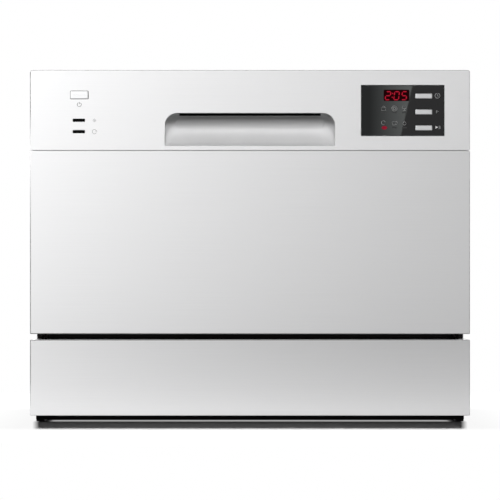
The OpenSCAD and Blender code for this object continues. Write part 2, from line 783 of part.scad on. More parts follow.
breather = [hub[1] - 45, hub[1] + 125, rail_z + 8, ceiling_z - 14];     // y low, y high, z low, z high
module air_breather() {
    color("#bfc8cc") mirror([1, 0, 0]) {
        difference() {
            slab(tub_half + 3, inner_half - 5, breather[0], breather[1], breather[2], breather[3]);
            for (i = [0 : 3])
                slab(inner_half - 9, inner_half, breather[0] + 10 + i * 40, breather[0] + 36 + i * 40,
                     breather[2] + 14, breather[3] - 14);
        }
        rod_x(tub_half + tub_t, tub_half + 4, hub[1] + 40, ceiling_z - 60, 17);
        rod_z(breather[2] - 20, breather[2] + 1, tub_half + 14, hub[1] + 110, 7);
    }
}

module fill_hose() {
    x = -tub_half - 14;
    z = inlet_at[1] + 44;
    color("#c9c9c4") hose([[x, hub[1] + 110, breather[2] - 20], [x, hub[1] + 110, z], [x, cab_back - 50, z],
                           [inlet_at[0], cab_back - 50, z],
                           [inlet_at[0], cab_back - 50, inlet_at[1] + 32]], 6.5, 4.5, 9);
}

module inlet_valve() {
    color("#e4e4df") difference() {
        union() {
            rod_y(cab_back - 62, cab_back + inlet_len, inlet_at[0], inlet_at[1], inlet_r);
            rod_y(cab_back - sheet_t - 4, cab_back - sheet_t, inlet_at[0], inlet_at[1], inlet_r + 8);
            rod_y(cab_back - sheet_t - 1, cab_back, inlet_at[0], inlet_at[1], inlet_r + 2 - slip);
            slab(inlet_at[0] - 16, inlet_at[0] + 16, cab_back - 66, cab_back - 34,
                 inlet_at[1] - 16, inlet_at[1] + 18);
            rod_z(inlet_at[1] + 17, inlet_at[1] + 32, inlet_at[0], cab_back - 50, 6.5);
        }
        rod_y(cab_back - 20, cab_back + inlet_len + 1, inlet_at[0], inlet_at[1], inlet_r - 3.6);
    }
}

gland_neck_r = 8;
module cable_gland() {
    color("#161616") difference() {
        union() {
            rod_y(cab_back - sheet_t - 7, cab_back + 9, gland_at[0], gland_at[1], gland_neck_r);
            rod_y(cab_back, cab_back + 3, gland_at[0], gland_at[1], gland_neck_r + 3);
            rod_y(cab_back - sheet_t - 7, cab_back - sheet_t, gland_at[0], gland_at[1], gland_neck_r + 2);
        }
        rod_y(cab_back - 20, cab_back + 20, gland_at[0], gland_at[1], gland_bore_r);
    }
}

// ---------- hinge ----------
module hinge_brackets() {
    color("#8f9294") mirrored_x() difference() {
        union() {
            side_prism(bracket_x, bracket_x + 3) union() {
                translate([hinge_y, hinge_z]) circle(hinge_eye_r);
                polygon([[hinge_y, hinge_z + hinge_eye_r], [cab_front - 2, hinge_z + hinge_eye_r - 1],
                         [cab_front - 2, hinge_z - 52], [hinge_y + 15.5, hinge_z - 11],
                         [hinge_y + 4, hinge_z - 4.5]]);
            }
            slab(bracket_x, inner_half - 1, cab_front - 4, cab_front - 2, hinge_z - 50, hinge_z - 22);
            rod_x(arm_x - 2, bracket_x + 4.5, hinge_y, hinge_z, hinge_pin_r);
            rod_x(bracket_x + 3 - eps, bracket_x + 4.5, hinge_y, hinge_z, hinge_pin_r + 1.5);
        }
    }
}

arm_plate_h = 85;
module hinge_arms() {
    color("#9a9da0") mirrored_x() difference() {
        union() {
            side_prism(arm_x, arm_x + arm_plate_t) difference() {
                union() {
                    translate([hinge_y, hinge_z]) circle(hinge_eye_r);
                    translate([hinge_y + tail[0], hinge_z + tail[1]]) circle(4);
                    polygon([[hinge_y - 5, hinge_z - 5],
                             [hinge_y + tail[0] - 3.4, hinge_z + tail[1] - 2.4],
                             [hinge_y + tail[0] + 3.4, hinge_z + tail[1] + 2.4],
                             [hinge_y + 6, hinge_z + 4]]);
                    polygon([[hinge_y - hinge_eye_r, hinge_z], [hinge_y + 2, hinge_z - hinge_eye_r],
                             [door_back - skin_t, hinge_notch_z + 5],
                             [door_back - skin_t, hinge_notch_z + arm_plate_h],
                             [hinge_y + 8, hinge_notch_z + arm_plate_h], [hinge_y - hinge_eye_r, hinge_z + 40]]);
                }
                translate([hinge_y, hinge_z]) circle(hinge_pin_r + run);
                translate([hinge_y + tail[0], hinge_z + tail[1]]) circle(1.6);
            }
            slab(arm_x - 16, arm_x + 1, door_back - skin_t - 2.5, door_back - skin_t, hinge_notch_z + 5,
                 hinge_notch_z + arm_plate_h);
        }
    }
}

module door_springs() {
    color("#a9acae") mirrored_x() {
        a = [spring_x, hinge_y + tail[0], hinge_z + tail[1]];
        b = [spring_x, spring_end[0] + 3, spring_end[1]];
        d = unit(b - a);
        solid_run([a, a + d * 46], spring_wire_r);
        rod_x(spring_x - 1, arm_x + arm_plate_t + 0.8, a[1], a[2], spring_wire_r);
        solid_run([a + d * 44, b - d * 14], spring_r);
        solid_run([b - d * 16, b - d * (1.5 + slip)], spring_wire_r);
    }
}

// ---------- door ----------
module door_outer_panel() {
    fold = door_t - 2;
    color("#d6d7d8") difference() {
        front_prism(front_y, front_y + fold) rrect(-half_w, half_w, door_z, panel_top, 0.8);
        front_prism(front_y + skin_t, front_y + fold + 1) rect(-half_w + skin_t, half_w - skin_t,
                                                                door_z + skin_t, panel_top - skin_t);
        // shallow folds at the top and the bottom, and open lower corners for the hinges
        slab(-half_w + skin_t, half_w - skin_t, front_y + 12, front_y + fold + 1, door_z - 1, panel_top + 1);
        mirrored_x() slab(hinge_notch_x, half_w - skin_t, front_y + skin_t, front_y + fold + 1,
                          door_z - 1, door_z + skin_t + 1);
    }
}

module recess_outline(z_low) {
    rect(-recess_w / 2, recess_w / 2, z_low, recess_top - recess_corner);
    rect(-recess_w / 2 + recess_corner, recess_w / 2 - recess_corner, recess_z, recess_top);
    for (x = [-1, 1]) translate([x * (recess_w / 2 - recess_corner), recess_top - recess_corner])
        circle(recess_corner);
}

module window_outline(grow) {
    rrect(window_x - window_w / 2 - grow, window_x + window_w / 2 + grow,
          window_z - window_h / 2 - grow, window_z + window_h / 2 + grow, 0.8);
}

module button_outline(x, z, w, h, grow) {
    rrect(x - w / 2 - grow, x + w / 2 + grow, z - h / 2 - grow, z + h / 2 + grow, 0.7);
}

button_zs = [for (i = [1, 0, -1]) button_z + i * button_pitch];

module control_panel() {
    color("#dfe0e1") {
        difference() {
            front_prism(front_y, door_back) top_rrect(-half_w, half_w, fascia_z, overall_h, fascia_corner);
            front_prism(front_y + fascia_t, door_back + 1)
                top_rrect(-half_w + fascia_t, half_w - fascia_t, fascia_z + 1.5, overall_h - fascia_t, 1);
            slab(-half_w + fascia_t, half_w - fascia_t, front_y + 12, door_back + 1,
                 fascia_z - 1, fascia_z + 5);
            front_prism(front_y - 1, front_y + fascia_t + 1) recess_outline(recess_z);
            front_prism(front_y - 1, front_y + fascia_t + 1) window_outline(0.15);
            front_prism(front_y - 1, front_y + fascia_t + 1)
                button_outline(power[0], power[1], power_w, power_h, slip);
            for (z = lens_z) front_prism(front_y - 1, front_y + fascia_t + 1)
                button_outline(lens_x, z, lens_w, lens_h, 0.05);
        }
        // posts that carry the boards
        for (p = board_posts) rod_y(front_y + fascia_t - eps, board_y, p[0], p[1], 2.6);
    }
}

board_posts = [for (x = [-1, 1], z = [-1, 1]) [window_x + x * (window_w / 2 + 5.5), window_z + z * 24]];
small_board = [power[0] - 22.7, power[0] + 25.3, fascia_z + 14, fascia_z + 80];
small_posts = [for (x = [small_board[0] + 4, small_board[1] - 4], z = [small_board[2] + 4, small_board[3] - 4])
    [x, z]];

module small_board_posts() { for (p = small_posts) rod_y(front_y + fascia_t, board_y, p[0], p[1], 2.2); }

module control_board() {
    color("#1f5a36") {
        slab(window_x - window_w / 2 - 9, window_x + window_w / 2 + 9, board_y, board_y + board_t,
             window_z - window_h / 2 + 2, window_z + window_h / 2 - 2);
        // display module, switches, processor, relay and plug
        slab(window_x - 26, window_x + 8, front_y + fascia_t + 1.7, board_y, window_z + 10, window_z + 26);
        for (z = button_zs) slab(button_x - 3, button_x + 3, board_y - 1.8, board_y, z - 3, z + 3);
        slab(window_x - 20, window_x - 4, board_y + board_t, board_y + board_t + 2.5,
             window_z - 8, window_z + 8);
        slab(window_x + 10, window_x + 26, board_y + board_t, board_y + board_t + 12,
             window_z - 22, window_z - 10);
        slab(window_x + 18, window_x + 44, board_y + board_t, board_y + board_t + 7,
             window_z + 6, window_z + 16);
        // small board behind the power switch and the two indicator windows
        slab(small_board[0], small_board[1], board_y, board_y + board_t, small_board[2], small_board[3]);
        slab(power[0] - 6, power[0] + 6, board_y - 1.2, board_y, power[1] - 4, power[1] + 4);
        for (z = lens_z) slab(lens_x - 3, lens_x + 3, board_y - 2, board_y, z - 1.5, z + 1.5);
        small_board_posts();
    }
}

module display_window() {
    color("#1c1c1e") difference() {
        union() {
            front_prism(front_y, front_y + fascia_t + eps) window_outline(0);
            front_prism(front_y + fascia_t, front_y + fascia_t + 1.5) window_outline(2.5);
        }
        for (z = button_zs) front_prism(front_y - 1, front_y + fascia_t + 3)
            button_outline(button_x, z, button_w, button_h, slip);
    }
}

module indicator_lenses() {
    color("#050505") for (z = lens_z) {
        front_prism(front_y, front_y + fascia_t + eps) button_outline(lens_x, z, lens_w, lens_h, 0);
        front_prism(front_y + fascia_t, front_y + fascia_t + 1) button_outline(lens_x, z, lens_w, lens_h, 2);
    }
}

module push_button(x, z, w, h, stem_back) {
    front_prism(front_y - button_proud, front_y + fascia_t + 0.8) button_outline(x, z, w, h, 0);
    rod_y(front_y + fascia_t, stem_back, x, z, 1.6);
}

module delay_button() {
    color("#c4c5c6") push_button(button_x, button_zs[0], button_w, button_h, board_y - 2 - button_travel);
}

module program_button() {
    color("#c4c5c6") push_button(button_x, button_zs[1], button_w, button_h, board_y - 2 - button_travel);
}

module start_button() {
    color("#c4c5c6") push_button(button_x, button_zs[2], button_w, button_h, board_y - 2 - button_travel);
}

module power_button() {
    color("#e6e7e8") push_button(power[0], power[1], power_w, power_h, board_y - 1.4 - power_travel);
}

// The hollow of the handle recess in the y and z section: a quarter round floor and an upright back
module recess_section(grow) {
    back = front_y + recess_depth;
    arc_c = [back - scoop_arc_r, recess_z + scoop_arc_r];
    intersection() {
        union() {
            translate(arc_c) circle(scoop_arc_r + grow);
            translate([arc_c[0], arc_c[1]]) square([scoop_arc_r + grow, recess_top - arc_c[1] + grow]);
        }
        translate([front_y, recess_z - grow]) square([recess_depth + grow, recess_h + 2 * grow]);
    }
}

module scoop_volume(grow) {
    intersection() {
        side_prism(-recess_w / 2 - grow, recess_w / 2 + grow) recess_section(grow);
        front_prism(front_y - 1, door_back) {
            rect(-recess_w / 2 - grow, recess_w / 2 + grow, recess_z - grow, recess_top - recess_corner);
            rect(-recess_w / 2 + recess_corner, recess_w / 2 - recess_corner,
                 recess_z - grow, recess_top + grow);
            for (x = [-1, 1]) translate([x * (recess_w / 2 - recess_corner), recess_top - recess_corner])
                circle(recess_corner + grow);
        }
        linear_extrude(overall_h) {
            r = 12;
            w = recess_w / 2 + grow;
            translate([-w, front_y]) square([2 * w, recess_depth - r]);
            translate([-w + r, front_y]) square([2 * w - 2 * r, recess_depth + grow]);
            for (x = [-1, 1]) translate([x * (w - r - grow), front_y + recess_depth - r]) circle(r + grow);
        }
    }
}

module handle_scoop() {
    inner = front_y + fascia_t;
    color("#b9babc") difference() {
        union() {
            intersection() {
                scoop_volume(scoop_t);
                slab(-half_w, half_w, inner, door_back, 0, overall_h);
            }
            // rim glued behind the control panel
            front_prism(inner, inner + 1.5)
                rrect(-recess_w / 2 - 6, recess_w / 2 + 6, recess_z - 3, recess_top + 4, 3);
            // ears that carry the paddle's pin
            for (x = [-1, 1]) translate([x * (paddle_w / 2 + 4), 0, 0]) side_prism(-2, 2) {
                translate(paddle_pivot) circle(5);
                translate([paddle_pivot[0] - 5, recess_top + 0.5]) square([10, paddle_pivot[1] - recess_top]);
            }
        }
        scoop_volume(0);
        // slot in the roof for the paddle, and the pin holes
        slab(-paddle_w / 2 - 1, paddle_w / 2 + 1, paddle_pivot[0] - 6, paddle_pivot[0] + 4.5,
             recess_top - 5, recess_top + 6);
        rod_x(-half_w, half_w, paddle_pivot[0], paddle_pivot[1], paddle_pin_r + run);
    }
}

module latch_paddle() {
    y = paddle_pivot[0];
    z = paddle_pivot[1];
    color("#0a0a0a") {
        slab(-paddle_w / 2, paddle_w / 2, y - paddle_t / 2, y + paddle_t / 2, recess_top - paddle_show, z + 3);
        rod_x(-paddle_w / 2 - 7, paddle_w / 2 + 7, y, z, paddle_pin_r);
        rod_x(-paddle_w / 2 + eps, paddle_w / 2 - eps, y, z, 4.5);
        // carrier of the hook
        slab(-hook_half - 4, hook_half + 4, y, y + 9, z - 3, hook_arm_z + 7);
    }
}

module latch_hook() {
    y = paddle_pivot[0] + 9;
    color("#8e9193") side_prism(-hook_half, hook_half) polygon([
        [y, hook_arm_z], [nose_y + 4.5, hook_arm_z], [nose_y + 4.5, hook_arm_z + 6],
        [nose_y, hook_arm_z + 7.5], [nose_y, hook_arm_z + 4], [y, hook_arm_z + 4]]);
}

module door_strike() {
    color("#3c3f42") difference() {
        slab(-hook_half - 14, hook_half + 14, strike_y, nose_y + 16, window_bottom, side_top - 1.5);
        // mouth for the hook: open in front, with the catch bar hanging in front of the nose
        slab(-hook_half - 1, hook_half + 1, strike_y - 1, nose_y + 10, window_bottom - 1, hook_arm_z + 4.5);
        slab(-hook_half - 1, hook_half + 1, nose_y - 0.5, nose_y + 10, hook_arm_z, hook_arm_z + 9);
    }
}

module door_liner() {
    half = half_w - fascia_t - slip;
    low_half = half_w - skin_t - slip;
    top = overall_h - fascia_t - slip;
    low = door_z + skin_t + slip;
    step = fascia_z - 1.5;
    fold = 18;
    color("#b9bdc0") difference() {
        union() {
            slab(-low_half, low_half, door_back - skin_t, door_back, low, step);
            slab(-half, half, door_back - skin_t, door_back, step - eps, top);
            front_prism(door_back - eps, disp_face)
                rrect(-field_half, field_half, field_z[0], field_z[1], field_corner);
            for (x = [-1, 1]) translate([x * (low_half - skin_t / 2), 0, 0])
                slab(-skin_t / 2, skin_t / 2, door_back - fold, door_back, low, step);
            slab(-low_half, low_half, door_back - fold, door_back, low, low + skin_t);
            slab(-half + 1, half - 1, door_back - fold, door_back, top - skin_t, top);
        }
        front_prism(door_back - skin_t - 1, disp_face - skin_t)
            rrect(-field_half + skin_t, field_half - skin_t, field_z[0] + skin_t, field_z[1] - skin_t,
                  field_corner - skin_t);
        mirrored_x() slab(hinge_notch_x, half_w, door_back - fold - 1, door_back + 1, low - 1, hinge_notch_z);
        // openings for the dispenser and the latch hook
        slab(disp[0] + 4, disp[1] - 4, door_back - 2, disp_face + 1, disp[2] + 4, disp[3] - 4);
        slab(-hook_half - 3, hook_half + 3, door_back - 2, door_back + 1, hook_arm_z - 7, hook_arm_z + 9);
    }
}

module lip_seal() {
    color("#3b3d3f") slab(-flange_half + 2, flange_half - 2, door_back, cab_front - slip,
                          rail_z - 17, rail_z - 3);
}

module detergent_dispenser() {
    back = disp_face - disp_depth;
    color("#d4d6d6") difference() {
        union() {
            front_prism(disp_face, disp_face + disp_flange_t) rrect(disp[0], disp[1], disp[2], disp[3], 6);
            slab(disp[0] + 4.3, disp[1] - 4.3, back, disp_face + eps, disp[2] + 4.3, disp[3] - 4.3);
        }
        front_prism(back + 2, disp_face + 5) rrect(cup[0], cup[1], cup[2], cup[3], 5);
        rod_y(back + 2, disp_face + 5, cap_at[0], cap_at[1], 10.4);
        // low body behind the parked lid stays thin-walled
        slab(cup[0], cup[1], back + 2, disp_face - 1, disp[2] + 7, cup[2] - 3);
    }
    // guide rails of the sliding lid
    color("#d4d6d6") for (x = [cup[0] - lid_over - 1.5 - slip, cup[1] + lid_over + slip])
        slab(x, x + 1.5, disp_face + disp_flange_t - eps, disp_face + disp_flange_t + lid_t + 0.6,
             disp[2] + 5, cup[3] + lid_over);
}

lid_travel = cup[3] - cup[2] + 2;
module dispenser_lid() {
    face = disp_face + disp_flange_t + 0.1;
    color("#8e979c") {
        front_prism(face, face + lid_t)
            rrect(cup[0] - lid_over, cup[1] + lid_over, cup[2] - lid_over, cup[3] + lid_over, 4);
        slab(-12, 22, face + lid_t - eps, face + lid_t + 1.8, cup[3] - 8, cup[3] - 5);
    }
}

module rinse_aid_cap() {
    face = disp_face + disp_flange_t + 0.1;
    color("#5f6f7a") {
        rod_y(face, face + 3.5, cap_at[0], cap_at[1], 15);
        rod_y(disp_face - 8, face + 1, cap_at[0], cap_at[1], 10);
        slab(cap_at[0] - 11, cap_at[0] + 11, face + 3, face + 6, cap_at[1] - 1.6, cap_at[1] + 1.6);
    }
}

module door_screws() {
    heights = [hinge_notch_z + 25, hinge_notch_z + 65, fascia_z - 20, overall_h - 30];
    color("#a8abad") for (x = [-1, 1], z = heights)
        rod_y(door_back, door_back + 1.4, x * (flange_half + 8), z, 3.2);
}

// ---------- basket ----------
function spread(a, b, n) = [for (i = [0 : n - 1]) a + (b - a) * i / (n - 1)];

side_xs = spread(-basket_half + 22, basket_half - 22, 11);
side_ys = spread(basket_y + 24, basket_back - 24, 9);
side_low = floor_z + rim_r + wire_r + 0.2;

module basket_floor() {
    for (x = [-1, 1]) rod_y(basket_y, basket_back, x * (basket_half - 4), floor_z, rim_r, $fn = 10);
    for (y = [basket_y, basket_back]) rod_x(-basket_half + 2, basket_half - 2, y, floor_z, rim_r, $fn = 10);
    for (x = side_xs) rod_y(basket_y, basket_back, x, floor_z, wire_r, $fn = 8);
    for (y = side_ys) rod_x(-basket_half + 4, basket_half - 4, y, floor_z - 2.6, wire_r, $fn = 8);
}

module basket_long_side() {
    x = basket_half;
    for (z = [side_low + wire_r, rim_z]) rod_y(basket_y, basket_back, x, z, rim_r, $fn = 10);
    rod_y(basket_y, basket_back, x, (side_low + rim_z) / 2, wire_r, $fn = 8);
    for (y = side_ys) rod_z(side_low + wire_r, rim_z, x + 1.2, y, wire_r, $fn = 8);
    // wheel carriers with their axle stubs
    for (pair = [[0, 1], [2, 3]]) {
        slab(x - 1, x + 2, wheel_ys[pair[0]] - 8, wheel_ys[pair[1]] + 8, axle_z - 6, side_low + wire_r);
        for (i = pair) {
            rod_x(x + 1, wheel_x - 0.5, wheel_ys[i], axle_z, axle_r + 1.5);
            rod_x(x + 1, wheel_x + wheel_w + 1.5, wheel_ys[i], axle_z, axle_r);
            rod_x(wheel_x + wheel_w + 0.4, wheel_x + wheel_w + 1.5, wheel_ys[i], axle_z, axle_r + 1.2);
        }
    }
}

module basket_short_side(y, out) {
    end = basket_half - rim_r - slip;
    for (z = [side_low + wire_r, rim_z]) rod_x(-end, end, y, z, rim_r, $fn = 10);
    rod_x(-basket_half + 5, basket_half - 5, y, (side_low + rim_z) / 2, wire_r, $fn = 8);
    for (x = side_xs) rod_z(side_low + wire_r, rim_z, x, y + out * 1.2, wire_r, $fn = 8);
}

module shelf_clips() {
    for (y = [side_ys[2], side_ys[6]]) difference() {
        slab(-basket_half - 1, shelf_axis[0] + 4.5, y - 3, y + 3, shelf_axis[1] - 5, shelf_axis[1] + 5);
        rod_y(-half_w, half_w, shelf_axis[0], shelf_axis[1], shelf_wire_r + run);
    }
}

module dish_basket() {
    color("#c3c8cc") {
        basket_floor();
        basket_long_side();
        mirror([1, 0, 0]) basket_long_side();
        basket_short_side(basket_y, -1);
        basket_short_side(basket_back, 1);
        shelf_clips();
    }
}

tine_h = 60;
tine_xs = [for (i = [1 : 7]) side_xs[i]];
tine_rooms = [120, 110];     // between the rows and the basket's front and back
tine_ys = [basket_y + tine_rooms[0], basket_back - tine_rooms[1]];

module plate_tines() {
    color("#c3c8cc") for (x = tine_xs, y = tine_ys)
        rod_z(floor_z + wire_r, floor_z + wire_r + tine_h, x, y, wire_r, $fn = 10);
}

module wheel_pair(i) {
    color("#8d9296") mirrored_x() difference() {
        rod_x(wheel_x, wheel_x + wheel_w, wheel_ys[i], axle_z, wheel_r);
        rod_x(wheel_x - 1, wheel_x + wheel_w + 1, wheel_ys[i], axle_z, axle_r + run);
        for (k = [0 : 4]) translate([0, wheel_ys[i], axle_z]) rotate([k * 72, 0, 0])
            rod_x(wheel_x + wheel_w - 3, wheel_x + wheel_w + 1, 0, axle_r + 3.3, 1.5);
    }
}

module cup_shelf() {
    x0 = shelf_axis[0];
    z = shelf_axis[1];
    color("#c3c8cc") {
        rod_y(hub[1] - shelf_half_len, hub[1] + shelf_half_len, x0, z, shelf_wire_r);
        rod_y(hub[1] - shelf_half_len, hub[1] + shelf_half_len, x0 + shelf_w, z, shelf_wire_r);
        for (y = spread(-shelf_half_len, shelf_half_len, 8)) rod_x(x0, x0 + shelf_w, hub[1] + y, z, wire_r);
        rod_y(hub[1] - shelf_half_len, hub[1] + shelf_half_len, x0 + shelf_w / 2, z, wire_r);
    }
}

module cutlery_basket() {
    x0 = cutlery_x[0];
    x1 = cutlery_x[1];
    y0 = cutlery_y[0];
    y1 = cutlery_y[1];
    top = cutlery_z + cutlery_h;
    xm = (x0 + x1) / 2;
    cell = (y1 - y0 - cutlery_t) / 3;
    color("#9aa0a4") {
        difference() {
            slab(x0, x1, y0, y1, cutlery_z, top);
            for (side = [0, 1], i = [0 : 2])
                slab(side == 0 ? x0 + cutlery_t : xm + cutlery_t / 2,
                     side == 0 ? xm - cutlery_t / 2 : x1 - cutlery_t,
                     y0 + cutlery_t + i * cell, y0 + (i + 1) * cell, cutlery_z + cutlery_t, top + 1);
            // slots through the long and the short walls, and through the floor
            for (i = [0 : 2], k = [0 : 3], z = [cutlery_z + 12, cutlery_z + 58])
                slab(x0 - 1, x1 + 1, y0 + 10 + i * cell + k * 10, y0 + 15 + i * cell + k * 10, z, z + 36);
            for (x = [x0 + 9, x0 + 20, xm + 8, xm + 19], z = [cutlery_z + 12, cutlery_z + 58])
                slab(x, x + 6, y0 - 1, y1 + 1, z, z + 36);
            for (i = [0 : 2], k = [0 : 3], x = [x0 + 7, xm + 6])
                slab(x, x + 24, y0 + 10 + i * cell + k * 10, y0 + 15 + i * cell + k * 10,
                     cutlery_z - 1, cutlery_z + 3);
        }
        // carrying handle
        slab(xm - 2, xm + 2, y0 + 30, y0 + 36, top - 6, top + 16);
        slab(xm - 2, xm + 2, y1 - 36, y1 - 30, top - 6, top + 16);
        slab(xm - 4, xm + 4, y0 + 30, y1 - 30, top + 12, top + 20);
    }
}

base_tray();
feet();
kick_plate();
front_crossmember();
left_side_panel();
right_side_panel();
top_cover();
rear_panel();
tub_wrapper();
tub_rear_wall();
tub_floor();
tub_seal();
sump();
filter_plate();
spray_arm_post();
heating_element();
wash_pump_housing();
drain_pump();
softener_tank();
air_breather();
inlet_valve();
drain_outlet();
cable_gland();
fill_hose();
drain_hose();
hinge_brackets();
door_springs();
door_strike();
cabinet_screws();
door_outer_panel();
control_panel();
door_liner();
handle_scoop();
display_window();
control_board();
indicator_lenses();
hinge_arms();
lip_seal();
detergent_dispenser();
door_screws();
latch_paddle();
latch_hook();
power_button();
delay_button();
program_button();
start_button();
dispenser_lid();
rinse_aid_cap();
spray_arm();
coarse_filter();
salt_cap();
pump_rotor();
dish_basket();
plate_tines();
wheel_pair(0);  // wheel_pair_1
wheel_pair(1);  // wheel_pair_2
wheel_pair(2);  // wheel_pair_3
wheel_pair(3);  // wheel_pair_4
cup_shelf();
cutlery_basket();
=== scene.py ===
import json
import math

import bmesh
import bpy
from bpy.props import FloatProperty, FloatVectorProperty, IntProperty, PointerProperty
from mathutils import Matrix, Vector

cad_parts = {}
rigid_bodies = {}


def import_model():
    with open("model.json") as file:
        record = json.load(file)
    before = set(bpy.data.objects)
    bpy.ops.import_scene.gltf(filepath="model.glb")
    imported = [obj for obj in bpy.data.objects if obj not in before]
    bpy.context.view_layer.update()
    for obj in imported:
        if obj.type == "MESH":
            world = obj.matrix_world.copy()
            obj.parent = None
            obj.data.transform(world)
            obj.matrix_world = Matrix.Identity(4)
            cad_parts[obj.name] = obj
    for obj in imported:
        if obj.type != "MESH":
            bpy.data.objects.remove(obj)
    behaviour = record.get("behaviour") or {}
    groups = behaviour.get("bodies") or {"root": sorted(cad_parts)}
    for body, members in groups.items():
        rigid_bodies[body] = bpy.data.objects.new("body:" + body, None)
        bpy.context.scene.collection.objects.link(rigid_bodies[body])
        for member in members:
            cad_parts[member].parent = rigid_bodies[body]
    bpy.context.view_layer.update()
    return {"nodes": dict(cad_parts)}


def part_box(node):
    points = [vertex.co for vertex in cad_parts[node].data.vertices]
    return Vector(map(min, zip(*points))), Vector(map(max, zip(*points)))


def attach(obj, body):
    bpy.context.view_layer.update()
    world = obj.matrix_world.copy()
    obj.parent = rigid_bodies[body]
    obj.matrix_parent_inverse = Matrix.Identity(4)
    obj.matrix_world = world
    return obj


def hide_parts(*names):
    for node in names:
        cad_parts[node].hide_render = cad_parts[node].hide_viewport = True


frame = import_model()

bl_info = {
    "name": "Countertop dishwasher",
    "version": (1, 0, 0),
    "blender": (4, 5, 0),
    "location": "View3D > Sidebar > Dishwasher",
    "description": "Dresses the packed dishwasher with its panels, display, basket wires and finishes",
    "category": "Object",
}

MM = 0.001

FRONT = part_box("door_outer_panel")[0][1]
HALF_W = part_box("door_outer_panel")[1][0]
DOOR_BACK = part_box("control_panel")[1][1]
FASCIA_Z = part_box("control_panel")[0][2]

WINDOW_X = 191 * MM
WINDOW_Z = FASCIA_Z + 49.3 * MM
LENS_X = -213.9 * MM
LENS_Z = (FASCIA_Z + 37.1 * MM, FASCIA_Z + 22.9 * MM)
RECESS = ((-106.3 * MM, 345.2 * MM), (106.3 * MM, 386.2 * MM))
WINDOW_KEYS = ("delay_button", "program_button", "start_button")


# ---------------------------------------------------------------- finishes
class Shader:
    """Builds one material's node tree around a Principled shader."""

    def __init__(self, name, colour, roughness, metallic=0.0, **sockets):
        self.material = bpy.data.materials.new(name)
        self.material.use_nodes = True
        self.tree = self.material.node_tree
        self.tree.nodes.clear()
        self.out = self.tree.nodes.new("ShaderNodeOutputMaterial")
        self.base = self.tree.nodes.new("ShaderNodeBsdfPrincipled")
        self.join(self.base.outputs[0], self.out.inputs["Surface"])
        self.base.inputs["Base Color"].default_value = (*colour, 1)
        self.base.inputs["Roughness"].default_value = roughness
        self.base.inputs["Metallic"].default_value = metallic
        for key, value in sockets.items():
            self.base.inputs[key.replace("_", " ")].default_value = value
        self.colour = colour
        self.roughness = roughness
        self.place = None

    def join(self, a, b):
        self.tree.links.new(a, b)

    def node(self, kind, **values):
        """A node with these properties and input values."""
        made = self.tree.nodes.new(kind)
        for key, value in values.items():
            if hasattr(made, key):
                setattr(made, key, value)
            else:
                made.inputs[key.replace("_", " ")].default_value = value
        return made

    def coords(self, stretch=(1, 1, 1)):
        if self.place is None:
            self.place = self.node("ShaderNodeTexCoord")
        scale = self.node("ShaderNodeMapping")
        scale.inputs["Scale"].default_value = stretch
        self.join(self.place.outputs["Object"], scale.inputs["Vector"])
        return scale.outputs[0]

    def axes(self):
        """The object's own coordinates, as three values."""
        split = self.node("ShaderNodeSeparateXYZ")
        self.join(self.coords(), split.inputs[0])
        return split.outputs

    def noise(self, scale, stretch=(1, 1, 1), detail=3.0):
        made = self.node("ShaderNodeTexNoise", Scale=scale, Detail=detail)
        self.join(self.coords(stretch), made.inputs["Vector"])
        return made.outputs["Fac"]

    def maths(self, operation, *values):
        """A Math node; each value is a socket or a number."""
        made = self.node("ShaderNodeMath", operation=operation)
        for socket, value in zip(made.inputs, values):
            if isinstance(value, (int, float)):
                socket.default_value = value
            else:
                self.join(value, socket)
        return made.outputs[0]

    def span(self, value, start, end, low=0.0, high=1.0):
        """Maps the range from start to end onto low to high."""
        made = self.node("ShaderNodeMapRange")
        for key, number in (("From Min", start), ("From Max", end), ("To Min", low), ("To Max", high)):
            made.inputs[key].default_value = number
        self.join(value, made.inputs["Value"])
        return made.outputs["Result"]

    def blend(self, share, first, second):
        made = self.node("ShaderNodeMixShader")
        for socket, source in zip(made.inputs, (share, first, second)):
            self.join(source, socket)
        return made.outputs[0]

    def ramp(self, value, stops):
        made = self.node("ShaderNodeValToRGB")
        ramp = made.color_ramp
        while len(ramp.elements) < len(stops):
            ramp.elements.new(0.5)
        for element, (position, colour) in zip(ramp.elements, stops):
            element.position = position
            element.color = (*colour, 1)
        self.join(value, made.inputs["Fac"])
        return made.outputs["Color"]

    def tint(self, value, spread, around=0.5, width=0.2):
        """Base colour a little darker and lighter than its own, along a texture value."""
        dark = tuple(c * (1 - spread) for c in self.colour)
        light = tuple(min(1, c * (1 + spread)) for c in self.colour)
        shades = self.ramp(value, [(around - width, dark), (around + width, light)])
        self.join(shades, self.base.inputs["Base Color"])
        return self

    def folded(self, shade):
        """Painted shade: multiplies the base colour towards shade by the mesh's fold weight, which lies on
        rounded edges, hole rims and up under the handle recess's roof.
        """
        bend = self.node("ShaderNodeAttribute", attribute_name="fold")
        mix = self.node("ShaderNodeMix", data_type="RGBA", blend_type="MULTIPLY")
        factor, flat, bent_colour = mix.inputs[0], mix.inputs[6], mix.inputs[7]
        source = self.base.inputs["Base Color"].links[0].from_socket
        self.join(bend.outputs["Fac"], factor)
        self.join(source, flat)
        bent_colour.default_value = (shade, shade, shade, 1)
        self.join(mix.outputs[2], self.base.inputs["Base Color"])
        return self

    def gloss(self, value, spread):
        """Varies the roughness by spread, along a texture value."""
        low = max(0, self.roughness - spread)
        self.join(self.span(value, 0.0, 1.0, low, self.roughness + spread), self.base.inputs["Roughness"])
        return self

    def relief(self, value, strength, distance):
        made = self.node("ShaderNodeBump", Strength=strength, Distance=distance)
        self.join(value, made.inputs["Height"])
        self.join(made.outputs["Normal"], self.base.inputs["Normal"])
        return self


